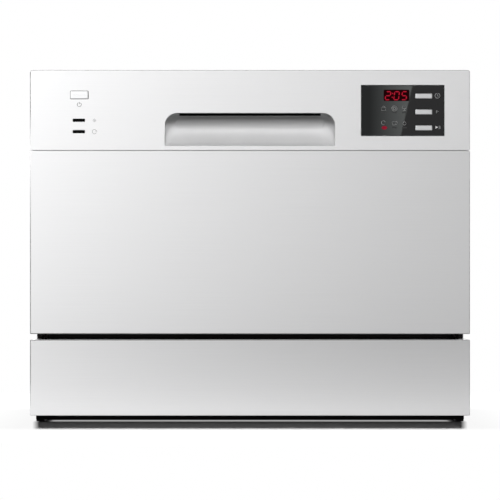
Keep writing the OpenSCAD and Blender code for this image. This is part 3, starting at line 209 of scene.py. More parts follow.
def silver_enamel(name, colour):
    """Sprayed silver-white paint of the cabinet, with a faint orange peel."""
    s = Shader(name, colour, 0.38, 0.05, Coat_Weight=0.2, Coat_Roughness=0.2)
    s.tint(s.noise(1.4, (1, 1, 2.0), 1.5), 0.012)
    s.gloss(s.noise(900, detail=2), 0.05)
    return s.relief(s.noise(420, detail=2), 0.035, 0.0002).material


def brushed_silver(name, colour):
    """Satin silver front: very fine level brush lines over a metallic lacquer, with painted shade on its
    rounded edges.
    """
    s = Shader(name, colour, 0.36, 0.05, Coat_Weight=0.15, Coat_Roughness=0.22)
    lines = s.noise(60, (0.12, 1, 26), 4)
    s.tint(lines, 0.012)
    # Painted shade on the rounded edges, down to 0.22 of the colour.
    s.folded(0.22)
    s.gloss(lines, 0.05)
    return s.relief(lines, 0.02, 0.0002).material


def tub_steel(name, colour):
    """Brushed stainless steel."""
    s = Shader(name, colour, 0.3, 1.0, Anisotropic=0.5)
    lines = s.noise(50, (0.15, 0.15, 22), 4)
    s.tint(lines, 0.05)
    s.gloss(s.noise(9, detail=5), 0.09)
    return s.relief(lines, 0.04, 0.0002).material


def spangled_zinc(name, colour):
    """Galvanised sheet with its crystal flakes."""
    s = Shader(name, colour, 0.38, 0.85)
    cells = s.node("ShaderNodeTexVoronoi", Scale=110.0)
    s.join(s.coords(), cells.inputs["Vector"])
    flakes = s.node("ShaderNodeSeparateColor")
    s.join(cells.outputs["Color"], flakes.inputs[0])
    s.tint(flakes.outputs[0], 0.13, 0.5, 0.45)
    return s.gloss(flakes.outputs[1], 0.08).material


def moulded(name, colour, roughness=0.5, grain=1400, depth=0.12, shine=0.5):
    """Grained moulded plastic."""
    s = Shader(name, colour, roughness, Specular_IOR_Level=shine)
    fine = s.noise(grain, detail=2)
    s.tint(s.noise(25, detail=3), 0.07)
    s.gloss(fine, 0.06)
    return s.relief(fine, depth, 0.0003).material


def recess_plastic(name, colour):
    """Silver plastic of the handle recess, with painted shade that darkens it deeper in and up under its
    roof.
    """
    s = Shader(name, colour, 0.42)
    s.tint(s.noise(25, detail=3), 0.03)
    # Painted shade up under the roof, down to 0.42 of the colour.
    s.folded(0.42)
    fine = s.noise(1600, detail=2)
    s.gloss(fine, 0.05)
    return s.relief(fine, 0.03, 0.0003).material


def soft_rubber(name, colour):
    s = Shader(name, colour, 0.72, Specular_IOR_Level=0.08)
    s.tint(s.noise(60, detail=4), 0.12)
    return s.relief(s.noise(1800, detail=2), 0.2, 0.0003).material


def ribbed_hose(name, colour):
    """Rubber or plastic hose with fine ribs."""
    s = Shader(name, colour, 0.55)
    rings = s.node("ShaderNodeTexWave", wave_type="BANDS", bands_direction="DIAGONAL", Scale=90.0)
    s.join(s.coords(), rings.inputs["Vector"])
    s.tint(rings.outputs["Fac"], 0.1)
    return s.relief(rings.outputs["Fac"], 0.6, 0.001).material


def heated_steel(name, colour):
    """Steel with the straw and blue colours that heat leaves on it."""
    straw, blue = (0.30, 0.25, 0.19), (0.24, 0.26, 0.33)
    s = Shader(name, colour, 0.42, 0.9)
    shades = s.ramp(s.noise(14, detail=3), [(0.3, straw), (0.5, colour), (0.72, blue)])
    s.join(shades, s.base.inputs["Base Color"])
    return s.gloss(s.noise(120), 0.1).material


def bright_steel(name, colour):
    s = Shader(name, colour, 0.28, 1.0)
    s.tint(s.noise(300, (1, 1, 0.2), 3), 0.06)
    return s.gloss(s.noise(200), 0.07).material


def black_glass(name, colour, shine=0.28):
    s = Shader(name, colour, 0.012, 0.0, Specular_IOR_Level=shine)
    s.tint(s.noise(3, detail=1), 0.25)
    return s.gloss(s.noise(40, detail=2), 0.006).material


def satin_key(name, colour):
    s = Shader(name, colour, 0.3, 0.55, Coat_Weight=0.3, Coat_Roughness=0.12)
    s.tint(s.noise(500, (0.2, 1, 3), 3), 0.03)
    return s.gloss(s.noise(700), 0.05).material


def coated_wire(name, colour):
    s = Shader(name, colour, 0.33, 0.0, Coat_Weight=0.35, Coat_Roughness=0.15)
    s.tint(s.noise(30, detail=3), 0.05)
    return s.relief(s.noise(500, detail=2), 0.08, 0.0004).material


def circuit_board(name, colour):
    s = Shader(name, colour, 0.35)
    traces = s.node("ShaderNodeTexBrick", Scale=160.0)
    traces.inputs["Color1"].default_value = (*colour, 1)
    traces.inputs["Color2"].default_value = (colour[0] * 1.3, colour[1] * 1.25, colour[2] * 1.2, 1)
    traces.inputs["Mortar"].default_value = (0.18, 0.32, 0.14, 1)
    s.join(s.coords(), traces.inputs["Vector"])
    s.join(traces.outputs["Color"], s.base.inputs["Base Color"])
    return s.material


def printed_ink(name, colour):
    s = Shader(name, colour, 0.6)
    return s.tint(s.noise(2500, detail=2), 0.08).material


def lit_segment(name, colour, strength):
    """A surface that glows with its own colour, a little unevenly."""
    s = Shader(name, tuple(c * 0.3 for c in colour), 0.6, Specular_IOR_Level=0.0)
    dim = tuple(c * 0.75 for c in colour)
    glow = s.ramp(s.noise(260, detail=1), [(0.3, dim), (0.65, colour)])
    s.join(glow, s.base.inputs["Emission Color"])
    s.base.inputs["Emission Strength"].default_value = strength
    return s.material


def finishes(look):
    """Every finish of the object, by its name."""
    silver = tuple(look.silver)
    made = {}
    for maker, name, colour, *more in (
        (brushed_silver, "front_silver", silver),
        (brushed_silver, "fascia_silver", tuple(c * 0.94 for c in silver)),
        (silver_enamel, "cabinet_silver", silver),
        # The recess silver is a little darker than the panels: painted shade for the lower light in the
        # recess.
        (recess_plastic, "recess_silver", tuple(c * 0.93 for c in silver)),
        (moulded, "black_moulding", (0.0025, 0.0025, 0.0025), 0.6, 1400, 0.12, 0.03),
        # Near-black paint, which on the crossmember and the hinge parts also stands in for the shade in the
        # gaps round the door.
        (moulded, "black_paint", (0.009, 0.006, 0.006), 0.45, 500, 0.05, 0.15),
        (soft_rubber, "foot_rubber", (0.005, 0.005, 0.005)),
        (spangled_zinc, "zinc", (0.52, 0.54, 0.55)),
        (tub_steel, "tub_steel", (0.62, 0.635, 0.64)),
        (heated_steel, "heater_steel", (0.34, 0.33, 0.32)),
        (bright_steel, "bright_steel", (0.6, 0.61, 0.62)),
        (soft_rubber, "seal_rubber", (0.055, 0.058, 0.06)),
        (ribbed_hose, "hose_rubber", (0.33, 0.33, 0.31)),
        (ribbed_hose, "hose_plastic", (0.17, 0.18, 0.19)),
        (moulded, "grey_plastic", (0.10, 0.105, 0.115), 0.46),
        (moulded, "pale_plastic", (0.66, 0.67, 0.66), 0.42, 1200, 0.06),
        (moulded, "breather_plastic", (0.55, 0.6, 0.62), 0.3, 900, 0.05),
        (black_glass, "display_glass", (0.0062, 0.0062, 0.0068)),
        (black_glass, "lens_black", (0.002, 0.002, 0.002), 0.05),
        (satin_key, "key_silver", (0.6, 0.605, 0.61)),
        (satin_key, "power_silver", (0.86, 0.865, 0.87)),
        (moulded, "cap_blue", (0.07, 0.13, 0.22), 0.4),
        (circuit_board, "board_green", (0.02, 0.1, 0.045)),
        (coated_wire, "wire_coat", (0.50, 0.52, 0.54)),
        (printed_ink, "grey_ink", (0.16, 0.16, 0.16)),
        (printed_ink, "symbol_ink", (0.24, 0.24, 0.24)),
        (printed_ink, "pale_ink", (0.42, 0.43, 0.43)),
        (printed_ink, "bright_ink", (0.8, 0.8, 0.8)),
        (printed_ink, "dark_ink", (0.004, 0.004, 0.0045)),
        (lit_segment, "red_segment", (0.42, 0.012, 0.03), 0.95),
        (lit_segment, "red_glow", (0.011, 0.001, 0.0017), 1.0),
        (lit_segment, "red_lamp", (0.24, 0.010, 0.026), 0.9),
    ):
        made[name] = maker(name, colour, *more)
    return made


FINISH_NODES = {
    "black_moulding": ("base_tray", "drain_outlet", "cable_gland", "latch_paddle"),
    "foot_rubber": ("feet",),
    # These parts are near-black partly as paint and partly as painted shade, so the gaps round the door
    # read dark.
    "black_paint": ("front_crossmember", "hinge_brackets", "hinge_arms"),
    "zinc": ("rear_panel", "door_strike", "latch_hook"),
    "tub_steel": ("tub_wrapper", "tub_rear_wall", "tub_floor", "filter_plate", "door_liner"),
    "seal_rubber": ("tub_seal", "lip_seal"),
    "grey_plastic": ("sump", "spray_arm_post", "wash_pump_housing", "drain_pump", "dispenser_lid",
        "spray_arm", "coarse_filter", "salt_cap", "wheel_pair_1", "wheel_pair_2", "wheel_pair_3",
        "wheel_pair_4", "cutlery_basket"),
    "heater_steel": ("heating_element",),
    "pale_plastic": ("softener_tank", "inlet_valve", "detergent_dispenser"),
    "breather_plastic": ("air_breather",),
    "hose_rubber": ("fill_hose",),
    "hose_plastic": ("drain_hose",),
    "board_green": ("control_board",),
    "lens_black": ("indicator_lenses",),
    "cap_blue": ("rinse_aid_cap",),
    "bright_steel": ("pump_rotor",),
}
FINISH = {}


# ---------------------------------------------------------------- mesh tools
def rounded(x0, x1, z0, z1, radii, steps=6, edge=1):
    """An outline that can be drawn inset: radii run bottom left, bottom right, top right, top left."""
    corners = [(x0, z0, 1, 1, 180), (x1, z0, -1, 1, 270), (x1, z1, -1, -1, 0), (x0, z1, 1, -1, 90)]
    least = 0.02 * MM

    def at(inset):
        points = []
        for (x, z, sx, sz, start), radius in zip(corners, radii):
            r = max(radius - inset, least)
            cx, cz = x + sx * (inset + r), z + sz * (inset + r)
            for i in range(steps + 1):
                a = math.radians(start + 90 * i / steps)
                points.append((cx + r * math.cos(a), cz + r * math.sin(a)))
        return with_edges(points, edge, steps + 1)

    return at


def with_edges(points, edge, run):
    """Adds points along the straight stretches between the corners."""
    if edge < 2:
        return points
    out = []
    for i, p in enumerate(points):
        out.append(p)
        if i % run == run - 1:
            q = points[(i + 1) % len(points)]
            for k in range(1, edge):
                out.append((p[0] + (q[0] - p[0]) * k / edge, p[1] + (q[1] - p[1]) * k / edge))
    return out


def around(node, gap, radius, steps):
    """An outline with a gap round a node, as seen from the front."""
    lo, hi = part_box(node)
    return rounded(lo[0] - gap, hi[0] + gap, lo[2] - gap, hi[2] + gap, [radius] * 4, steps)


def centred(x, z, wide, high, radius):
    """An outline round a middle, from its half width and half height."""
    return rounded(x - wide, x + wide, z - high, z + high, [radius] * 4, 3)


def disc(x, z, radius, steps):
    def at(inset):
        r = radius - inset
        return [(x + r * math.cos(2 * math.pi * i / steps), z + r * math.sin(2 * math.pi * i / steps))
                for i in range(steps)]

    return at


def facing(y):
    """Places a drawn point on a plane that faces the front: w is the depth behind it."""
    return lambda u, v, w: (u, y + w, v)


# The painted edge shade where two panels shut against each other; a weight this low also marks the seam for
# a shallower rounding.
SHUT = 0.1
SEAM_REACH = 2 * MM
SEAM_ROUNDING = 0.25


def outer_edge_painted_shade(seam):
    """Painted shade on a panel's rounded outer edge, set by how the light falls: darkest along the left
    edge, less along the top and bottom, least along the right, and nearly none where two panels shut
    against each other.
    """
    def painted_shade_weight(u, v):
        if abs(v - seam) < SEAM_REACH:
            return SHUT
        if abs(u) < HALF_W - SEAM_REACH:
            return 0.6
        return 1.0 if u < 0 else 0.35

    return painted_shade_weight


def rounding(depth, painted_shade_weight):
    """The depth of a rounded edge, which is shallow where two panels shut against each other."""
    def lift(u, v):
        return depth * SEAM_ROUNDING if painted_shade_weight(u, v) <= SHUT else depth

    return lift if painted_shade_weight else depth


def ring_of(bm, points, depth, place, fold=0.0, painted_shade_weight=None):
    """A ring of vertices; fold, scaled by the given weight function where there is one, is the weight of
    the painted shade that the finish puts on them.
    """
    # The fold layer holds the weight of the painted shade.
    layer = bm.verts.layers.float.get("fold") or bm.verts.layers.float.new("fold")
    ring = []
    for u, v in points:
        vertex = bm.verts.new(place(u, v, depth(u, v) if callable(depth) else depth))
        vertex[layer] = fold * painted_shade_weight(u, v) if painted_shade_weight else fold
        ring.append(vertex)
    return ring


def bridge(bm, a, b):
    n = len(a)
    for i in range(n):
        bm.faces.new((a[i], a[(i + 1) % n], b[(i + 1) % n], b[i]))


def loop_edges(bm, ring):
    n = len(ring)
    return [bm.edges.get((ring[i], ring[(i + 1) % n])) or bm.edges.new((ring[i], ring[(i + 1) % n]))
            for i in range(n)]


def pressed_panel(bm, outline, place, depth, edge_r, wall, holes=(), hole_r=0.4 * MM, hole_depth=2.5 * MM,
                  steps=4, painted_shade_weight=None):
    """A sheet with a rounded edge, folded back along its outline, with rounded holes. The rounded edge and
    the hole rims carry the fold weight that finishes turn into painted shade.
    """
    flat_rim = 0.5 * MM
    # The hole rims get a fifth of the painted edge shade.
    hole_shade = 0.2
    turns = [math.pi / 2 * i / steps for i in range(steps + 1)]
    rows = [(edge_r + flat_rim, 0.0, 0.0)]
    rows += [(edge_r * (1 - math.sin(a)), edge_r * (1 - math.cos(a)), 1.0) for a in turns]
    edges = []
    last = None
    for inset, w, fold in rows + [(0, edge_r * 1.5, 0.0)]:
        ring = ring_of(bm, outline(inset), rounding(w, painted_shade_weight), place, fold, painted_shade_weight)
        if last is None:
            edges += loop_edges(bm, ring)
        else:
            bridge(bm, last, ring)
        last = ring
    for inset, far in ((0, depth), (wall, depth), (wall, wall)):
        ring = ring_of(bm, outline(inset), far, place)
        bridge(bm, last, ring)
        last = ring
    shrink = hole_r / edge_r
    for hole in holes:
        last = None
        for inset, w, fold in rows:
            ring = ring_of(bm, hole(-inset * shrink), w * shrink, place, fold * hole_shade)
            if last is None:
                edges += loop_edges(bm, ring)
            else:
                bridge(bm, ring, last)
            last = ring
        bridge(bm, ring_of(bm, hole(0), hole_depth, place), last)
    bmesh.ops.triangle_fill(bm, use_beauty=True, edges=edges)


def placed(name, data):
    """A new object in the scene."""
    made = bpy.data.objects.new(name, data)
    bpy.context.scene.collection.objects.link(made)
    return made


def finish_piece(name, bm, finish, body, replaces=(), smooth=40, weighted=True):
    """Turns a bmesh into a piece with its finish, which rides on a CAD body."""
    bmesh.ops.recalc_face_normals(bm, faces=bm.faces)
    mesh = bpy.data.meshes.new(name)
    bm.to_mesh(mesh)
    bm.free()
    return mesh_piece(name, mesh, finish, body, replaces, smooth, weighted)


def mesh_piece(name, mesh, finish, body, replaces=(), smooth=40, weighted=True):
    piece = placed(name, mesh)
    mesh.materials.clear()
    mesh.materials.append(FINISH[finish])
    mesh.polygons.foreach_set("use_smooth", [True] * len(mesh.polygons))
    mesh.set_sharp_from_angle(angle=math.radians(smooth))
    if weighted:
        modifier = piece.modifiers.new("flat_faces", "WEIGHTED_NORMAL")
        modifier.keep_sharp = True
        modifier.weight = 80
    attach(piece, body)
    if replaces:
        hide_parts(*replaces)
    return piece


def bent(points, radius, steps=5):
    """A path with its inner corners rounded."""
    pts = [Vector(p) for p in points]
    out = [pts[0]]
    for a, b, c in zip(pts, pts[1:], pts[2:]):
        u, v = (b - a).normalized(), (c - b).normalized()
        angle = u.angle(v)
        if angle < 0.01:
            out.append(b)
            continue
        cut = min(radius * math.tan(angle / 2), (b - a).length * 0.49, (c - b).length * 0.49)
        p, q = b - u * cut, b + v * cut
        for i in range(steps + 1):
            t = i / steps
            out.append(p.lerp(b, t).lerp(b.lerp(q, t), t))
    out.append(pts[-1])
    return out


def wire_mesh(name, runs, sides=3):
    """One mesh of round wires. Each run is (points, radius, closed)."""
    made = bpy.data.curves.new(name, "CURVE")
    made.dimensions = "3D"
    made.bevel_depth = 1.0
    made.bevel_resolution = sides
    made.use_fill_caps = True
    for points, radius, closed in runs:
        spline = made.splines.new("POLY")
        spline.points.add(len(points) - 1)
        for knot, p in zip(spline.points, points):
            knot.co = (*p, 1)
            knot.radius = radius
        spline.use_cyclic_u = closed
    holder = placed(name + "_path", made)
    graph = bpy.context.evaluated_depsgraph_get()
    mesh = bpy.data.meshes.new_from_object(holder.evaluated_get(graph))
    bpy.data.objects.remove(holder)
    bpy.data.curves.remove(made)
    mesh.name = name
    return mesh


def wires(name, runs, finish, body, replaces=(), sides=3):
    return mesh_piece(name, wire_mesh(name, runs, sides), finish, body, replaces, 50, False)


def block(bm, lo, hi):
    """Adds a box between two corners."""
    middle = Matrix.Translation([(a + b) / 2 for a, b in zip(lo, hi)])
    size = Matrix.Diagonal([*(b - a for a, b in zip(lo, hi)), 1])
    bmesh.ops.create_cube(bm, size=1.0, matrix=middle @ size)


def bevelled(piece, width, segments=2, angle=30):
    """Rounds a piece's sharp edges with a modifier."""
    edge = piece.modifiers.new("edges", "BEVEL")
    edge.width = width
    edge.segments = segments
    edge.limit_method = "ANGLE"
    edge.angle_limit = math.radians(angle)
    return edge


def soften(node, width):
    """Rounds a CAD node's sharp edges with modifiers; its mesh isn't touched."""
    piece = frame["nodes"][node]
    weld = piece.modifiers.new("weld", "WELD")
    weld.merge_threshold = 0.00001
    bevelled(piece, width, 2, 40).harden_normals = False
    normal = piece.modifiers.new("flat_faces", "WEIGHTED_NORMAL")
    normal.keep_sharp = False


# ---------------------------------------------------------------- settings
class DishwasherLook(bpy.types.PropertyGroup):
    silver: FloatVectorProperty(name="Silver", description="Colour of the painted panels",
                                subtype="COLOR", default=(0.80, 0.80, 0.805), min=0, max=1)
    edge: FloatProperty(name="Sheet edge", description="Radius of the folded sheet's edges",
                        subtype="DISTANCE", unit="LENGTH", default=0.8 * MM, min=0.3 * MM, max=2 * MM)
    fascia_edge: FloatProperty(name="Control panel edge", description="Radius of the control panel's edges",
                               subtype="DISTANCE", unit="LENGTH",
                               default=0.7 * MM, min=0.3 * MM, max=2.4 * MM)
    key_edge: FloatProperty(name="Button edge", description="Radius of the buttons' edges",
                            subtype="DISTANCE", unit="LENGTH", default=1.4 * MM, min=0.2 * MM, max=1.8 * MM)
    rim_bend: FloatProperty(name="Basket corner", description="Radius of the bends in the basket's rims",
                            subtype="DISTANCE", unit="LENGTH", default=22 * MM, min=5 * MM, max=40 * MM)
    spring_turns: IntProperty(name="Spring turns", description="Turns of each door spring",
                              default=62, min=20, max=90)


class DishwasherStage(bpy.types.PropertyGroup):
    distance: FloatProperty(name="Camera distance", description="From the camera to the door's face",
                            subtype="DISTANCE", unit="LENGTH", default=5.0, min=2, max=12)
    eye: FloatProperty(name="Camera height", description="Height of the camera over the floor",
                       subtype="DISTANCE", unit="LENGTH", default=0.215, min=0.05, max=1)
    lens: FloatProperty(name="Lens", description="Focal length", default=288, min=35, max=600)
    key: FloatProperty(name="Key light", description="Power of the key light", default=31.5, min=0, max=500)
    low: FloatProperty(name="Low light", description="Power of the strip under the kick plate",
                       default=0.25, min=0, max=50)
    top: FloatProperty(name="Top light", description="Power of the light above",
                       default=14.5, min=0, max=500)
    side: FloatProperty(name="Side lights", description="Power of each light beside and behind",
                        default=20, min=0, max=500)
    floor: FloatProperty(name="Floor light", description="Power of the light on the floor",
                         default=960, min=0, max=2000)
    fill: FloatProperty(name="Fill", description="Strength of the even light from all round",
                        default=0.1, min=0, max=1)


# ---------------------------------------------------------------- panels
front_place = facing(FRONT)


def returns(half, side_depth, fold):
    """How far a panel's edges are folded back: deep at its two sides, shallow along the top and bottom."""
    return lambda u, v: side_depth if abs(abs(u) - half) < 1.2 * MM else fold


class DISHWASHER_OT_finishes(bpy.types.Operator):
    """Makes the finishes and puts them on the carried-over nodes"""

    bl_idname = "dishwasher.finishes"
    bl_label = "Finishes"

    def execute(self, context):
        FINISH.update(finishes(context.scene.dishwasher_look))
        for finish, nodes in FINISH_NODES.items():
            for node in nodes:
                for place in frame["nodes"][node].material_slots:
                    place.material = FINISH[finish]
        return {"FINISHED"}


class DISHWASHER_OT_door_front(bpy.types.Operator):
    """Folded door sheet and kick plate"""

    bl_idname = "dishwasher.door_front"
    bl_label = "Door sheet and kick plate"

    def execute(self, context):
        edge = context.scene.dishwasher_look.edge
        top, bottom = 1, 0
        for node, body, side, seam in (("door_outer_panel", "door", 46 * MM, top),
                                       ("kick_plate", "cabinet", 51 * MM, bottom)):
            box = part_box(node)
            lo, hi = box
            outline = rounded(lo[0], hi[0], lo[2], hi[2], [edge + 0.4 * MM] * 4, 5, 2)
            bm = bmesh.new()
            pressed_panel(bm, outline, front_place, returns(HALF_W, side, 10 * MM), edge, 1 * MM,
                          painted_shade_weight=outer_edge_painted_shade(box[seam][2]))
            finish_piece(node + "_sheet", bm, "front_silver", body, [node])
        return {"FINISHED"}


def recess_outline(depth):
    """The handle recess at a depth behind the panel's face; each depth has the same number of points."""
    lo, hi = RECESS
    floor_r, side_r, roof_r = 26.4 * MM, 12 * MM, 5 * MM
    back = 26 * MM
    d = min(depth, back)

    def curved_in(r, start):
        """How far a wall of radius r has come in, when it starts to curve at a depth of start."""
        return r - math.sqrt(max(r ** 2 - max(d - start, 0) ** 2, 0))

    up = curved_in(floor_r, 0)
    side = curved_in(side_r, back - side_r)
    down = curved_in(roof_r, back - roof_r)
    room = (hi[1] - down) - (lo[1] + up)
    low_r = min((0.6 + 9 * d / back) * MM, 0.4 * room)
    top_r = min(max(15 * MM - side * 0.5, 6 * MM), 0.55 * room)
    radii = [low_r, low_r, top_r, top_r]
    return rounded(lo[0] + side, hi[0] - side, lo[1] + up, hi[1] - down, radii, 8, 6)(0)


class DISHWASHER_OT_control_panel(bpy.types.Operator):
    """Control panel with its cut-outs, and the handle recess behind it"""

    bl_idname = "dishwasher.control_panel"
    bl_label = "Control panel and recess"

    def execute(self, context):
        edge = context.scene.dishwasher_look.fascia_edge
        lo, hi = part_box("control_panel")
        overlap = 0.35 * MM
        outline = rounded(lo[0], hi[0], lo[2] - overlap, hi[2], [1.5 * MM, 1.5 * MM, 3 * MM, 3 * MM], 6, 2)
        bm = bmesh.new()
        pressed_panel(bm, outline, front_place, self.depth, edge, 2.5 * MM, self.holes(), 0.35 * MM,
                      painted_shade_weight=outer_edge_painted_shade(FASCIA_Z))
        finish_piece("control_panel_moulding", bm, "fascia_silver", "door", ["control_panel"])
        self.recess()
        return {"FINISHED"}

    def depth(self, u, v):
        """The panel is as deep as the door, apart from its shallow lower edge."""
        lower_edge = v < FASCIA_Z + 0.4 * MM and abs(u) < HALF_W - 1.6 * MM
        return 12 * MM if lower_edge else DOOR_BACK - FRONT

    def holes(self):
        """Cut-outs for the handle recess, the display window, the power button and the two lamps."""
        (x0, z0), (x1, z1) = RECESS
        cut = [rounded(x0, x1, z0, z1, [0.6 * MM, 0.6 * MM, 15 * MM, 15 * MM], 8, 6)]
        cut.append(centred(WINDOW_X, WINDOW_Z, 52.15 * MM, 31.85 * MM, 0.8 * MM))
        cut.append(around("power_button", 0.3 * MM, 1 * MM, 4))
        return cut + [centred(LENS_X, z, 7.6 * MM, 1.95 * MM, 0.7 * MM) for z in LENS_Z]

    def recess(self):
        """The handle recess, drawn as rings from the panel's face to its back wall, with painted shade
        under its roof.
        """
        # Painted shade weight: none below 366 mm, full from 376 mm up, and growing with the depth to 20 mm.
        shade_from, shade_over = 366 * MM, 10 * MM
        full_shade_depth = 20
        depths = [0.3, 1, 2, 3.5, 5, 7, 9, 11, 13, 14.5, 16, 17.5, 19, 20.5, 21.5, 22.5, 23.5, 24.3, 25,
                  25.5, 25.85, 26]

        def roof(u, v):
            return min(1, max(0, (v - shade_from) / shade_over)) ** 2

        bm = bmesh.new()
        last = None
        for d in depths:
            fold = min(1, d / full_shade_depth)
            ring = ring_of(bm, recess_outline(d * MM), d * MM, front_place, fold, roof)
            if last:
                bridge(bm, last, ring)
            last = ring
        bm.faces.new(last)
        scoop = finish_piece("handle_recess", bm, "recess_silver", "door", ["handle_scoop"],
                             60, False)
        wall = scoop.modifiers.new("wall", "SOLIDIFY")
        wall.thickness = 1.6 * MM
        wall.offset = 1


# ---------------------------------------------------------------- printed marks, drawn in millimetres
def tile(bm, shape, proud):
    """A thin flat tile on the panel's face."""
    front = [bm.verts.new((x * MM, FRONT - proud * MM, z * MM)) for x, z in shape]
    back = [bm.verts.new((x * MM, FRONT + 0.05 * MM, z * MM)) for x, z in shape]
    bm.faces.new(front)
    bm.faces.new(back)
    bridge(bm, front, back)


def printed(name, shapes, finish, proud):
    """One piece of flat tiles."""
    bm = bmesh.new()
    for shape in shapes:
        tile(bm, shape, proud)
    finish_piece(name, bm, finish, "door", weighted=False)


def strokes(name, lines, finish, width):
    """One piece of printed lines."""
    runs = []
    for points in lines:
        closed = points[0] == points[-1] and len(points) > 3
        if closed:
            points = points[:-1]
        path = [(x * MM, FRONT + 0.03 * MM, z * MM) for x, z in points]
        runs.append((path, width / 2 * MM, closed))
    wires(name, runs, finish, "door", sides=1)


def oval(x, z, wide, high, steps):
    turns = [2 * math.pi * i / steps for i in range(steps)]
    return [(x + wide * math.cos(a), z + high * math.sin(a)) for a in turns]


def arc(x, z, r, start, end, steps=16):
    """Part of a circle, between two angles in degrees."""
    turns = [math.radians(start + (end - start) * i / steps) for i in range(steps + 1)]
    return [(x + r * math.cos(a), z + r * math.sin(a)) for a in turns]


def moved(lines, x, z, grow=1.0):
    """Lines that are drawn around zero, larger and around x and z."""
    return [[(x + px * grow, z + pz * grow) for px, pz in points] for points in lines]


def in_mm(points):
    return [(x / MM, z / MM) for x, z in points]


POT = [[(-2.3, 0.9), (-2.0, -1.9), (2.0, -1.9), (2.3, 0.9), (-2.3, 0.9)],
       [(-1.2, 0.9), (-1.2, 2.0), (1.2, 2.0), (1.2, 0.9)]]
PLATE = [arc(0, 0, 2.5, 0, 360), arc(0, 0, 1.2, 0, 360)]
GLASS = [[(-1.9, 2.1), (-1.5, -0.2), (1.5, -0.2), (1.9, 2.1), (-1.9, 2.1)],
         [(0, -0.2), (0, -2.0)], [(-1.4, -2.0), (1.4, -2.0)]]
LEAF = [arc(0, 0.4, 1.9, 60, 300), [(0.4, 2.2), (1.9, 1.2)]]
CUP = [[(-2.4, 1.6), (-2.0, -1.7), (1.0, -1.7), (1.4, 1.6), (-2.4, 1.6)], arc(1.4, 0.2, 1.3, -80, 80)]
DROP = [[(0, 2.2), (-1.6, -0.4), (-1.0, -1.6), (0, -1.9), (1.0, -1.6), (1.6, -0.4), (0, 2.2)]]
CLOCK = [arc(0, 0, 3.1, 100, 440), [(0, 1.8), (0, 0), (1.3, -0.8)]]
FLAG = [[(-1.3, -2.7), (-1.3, 1.1)], [(-1.3, 0.9), (1.6, 0), (-1.3, -1.1)]]
PAUSE = [[(1.9, -2.0), (1.9, 2.0)], [(3.1, -2.0), (3.1, 2.0)]]
RAYS = [[(r * math.cos(k * math.pi / 4), r * math.sin(k * math.pi / 4)) for r in (1.5, 2.2)]
        for k in range(8)]
SUN = [arc(0, 0, 0.9, 0, 360, 10)] + RAYS
TURN = [arc(0, 0, 2.7, 30, 330), [(2.3, 1.4), (3.3, -0.3)], [(2.3, 1.4), (0.9, 0.5)]]
POWER = [arc(0, 0, 2.6, 120, 420), [(0, 3.2), (0, 0.4)]]

COLUMNS = (166.9, 180.6, 193.1)
ROWS = (391.9, 373.5)
LAMP_ROWS = (387.1, 368.0)


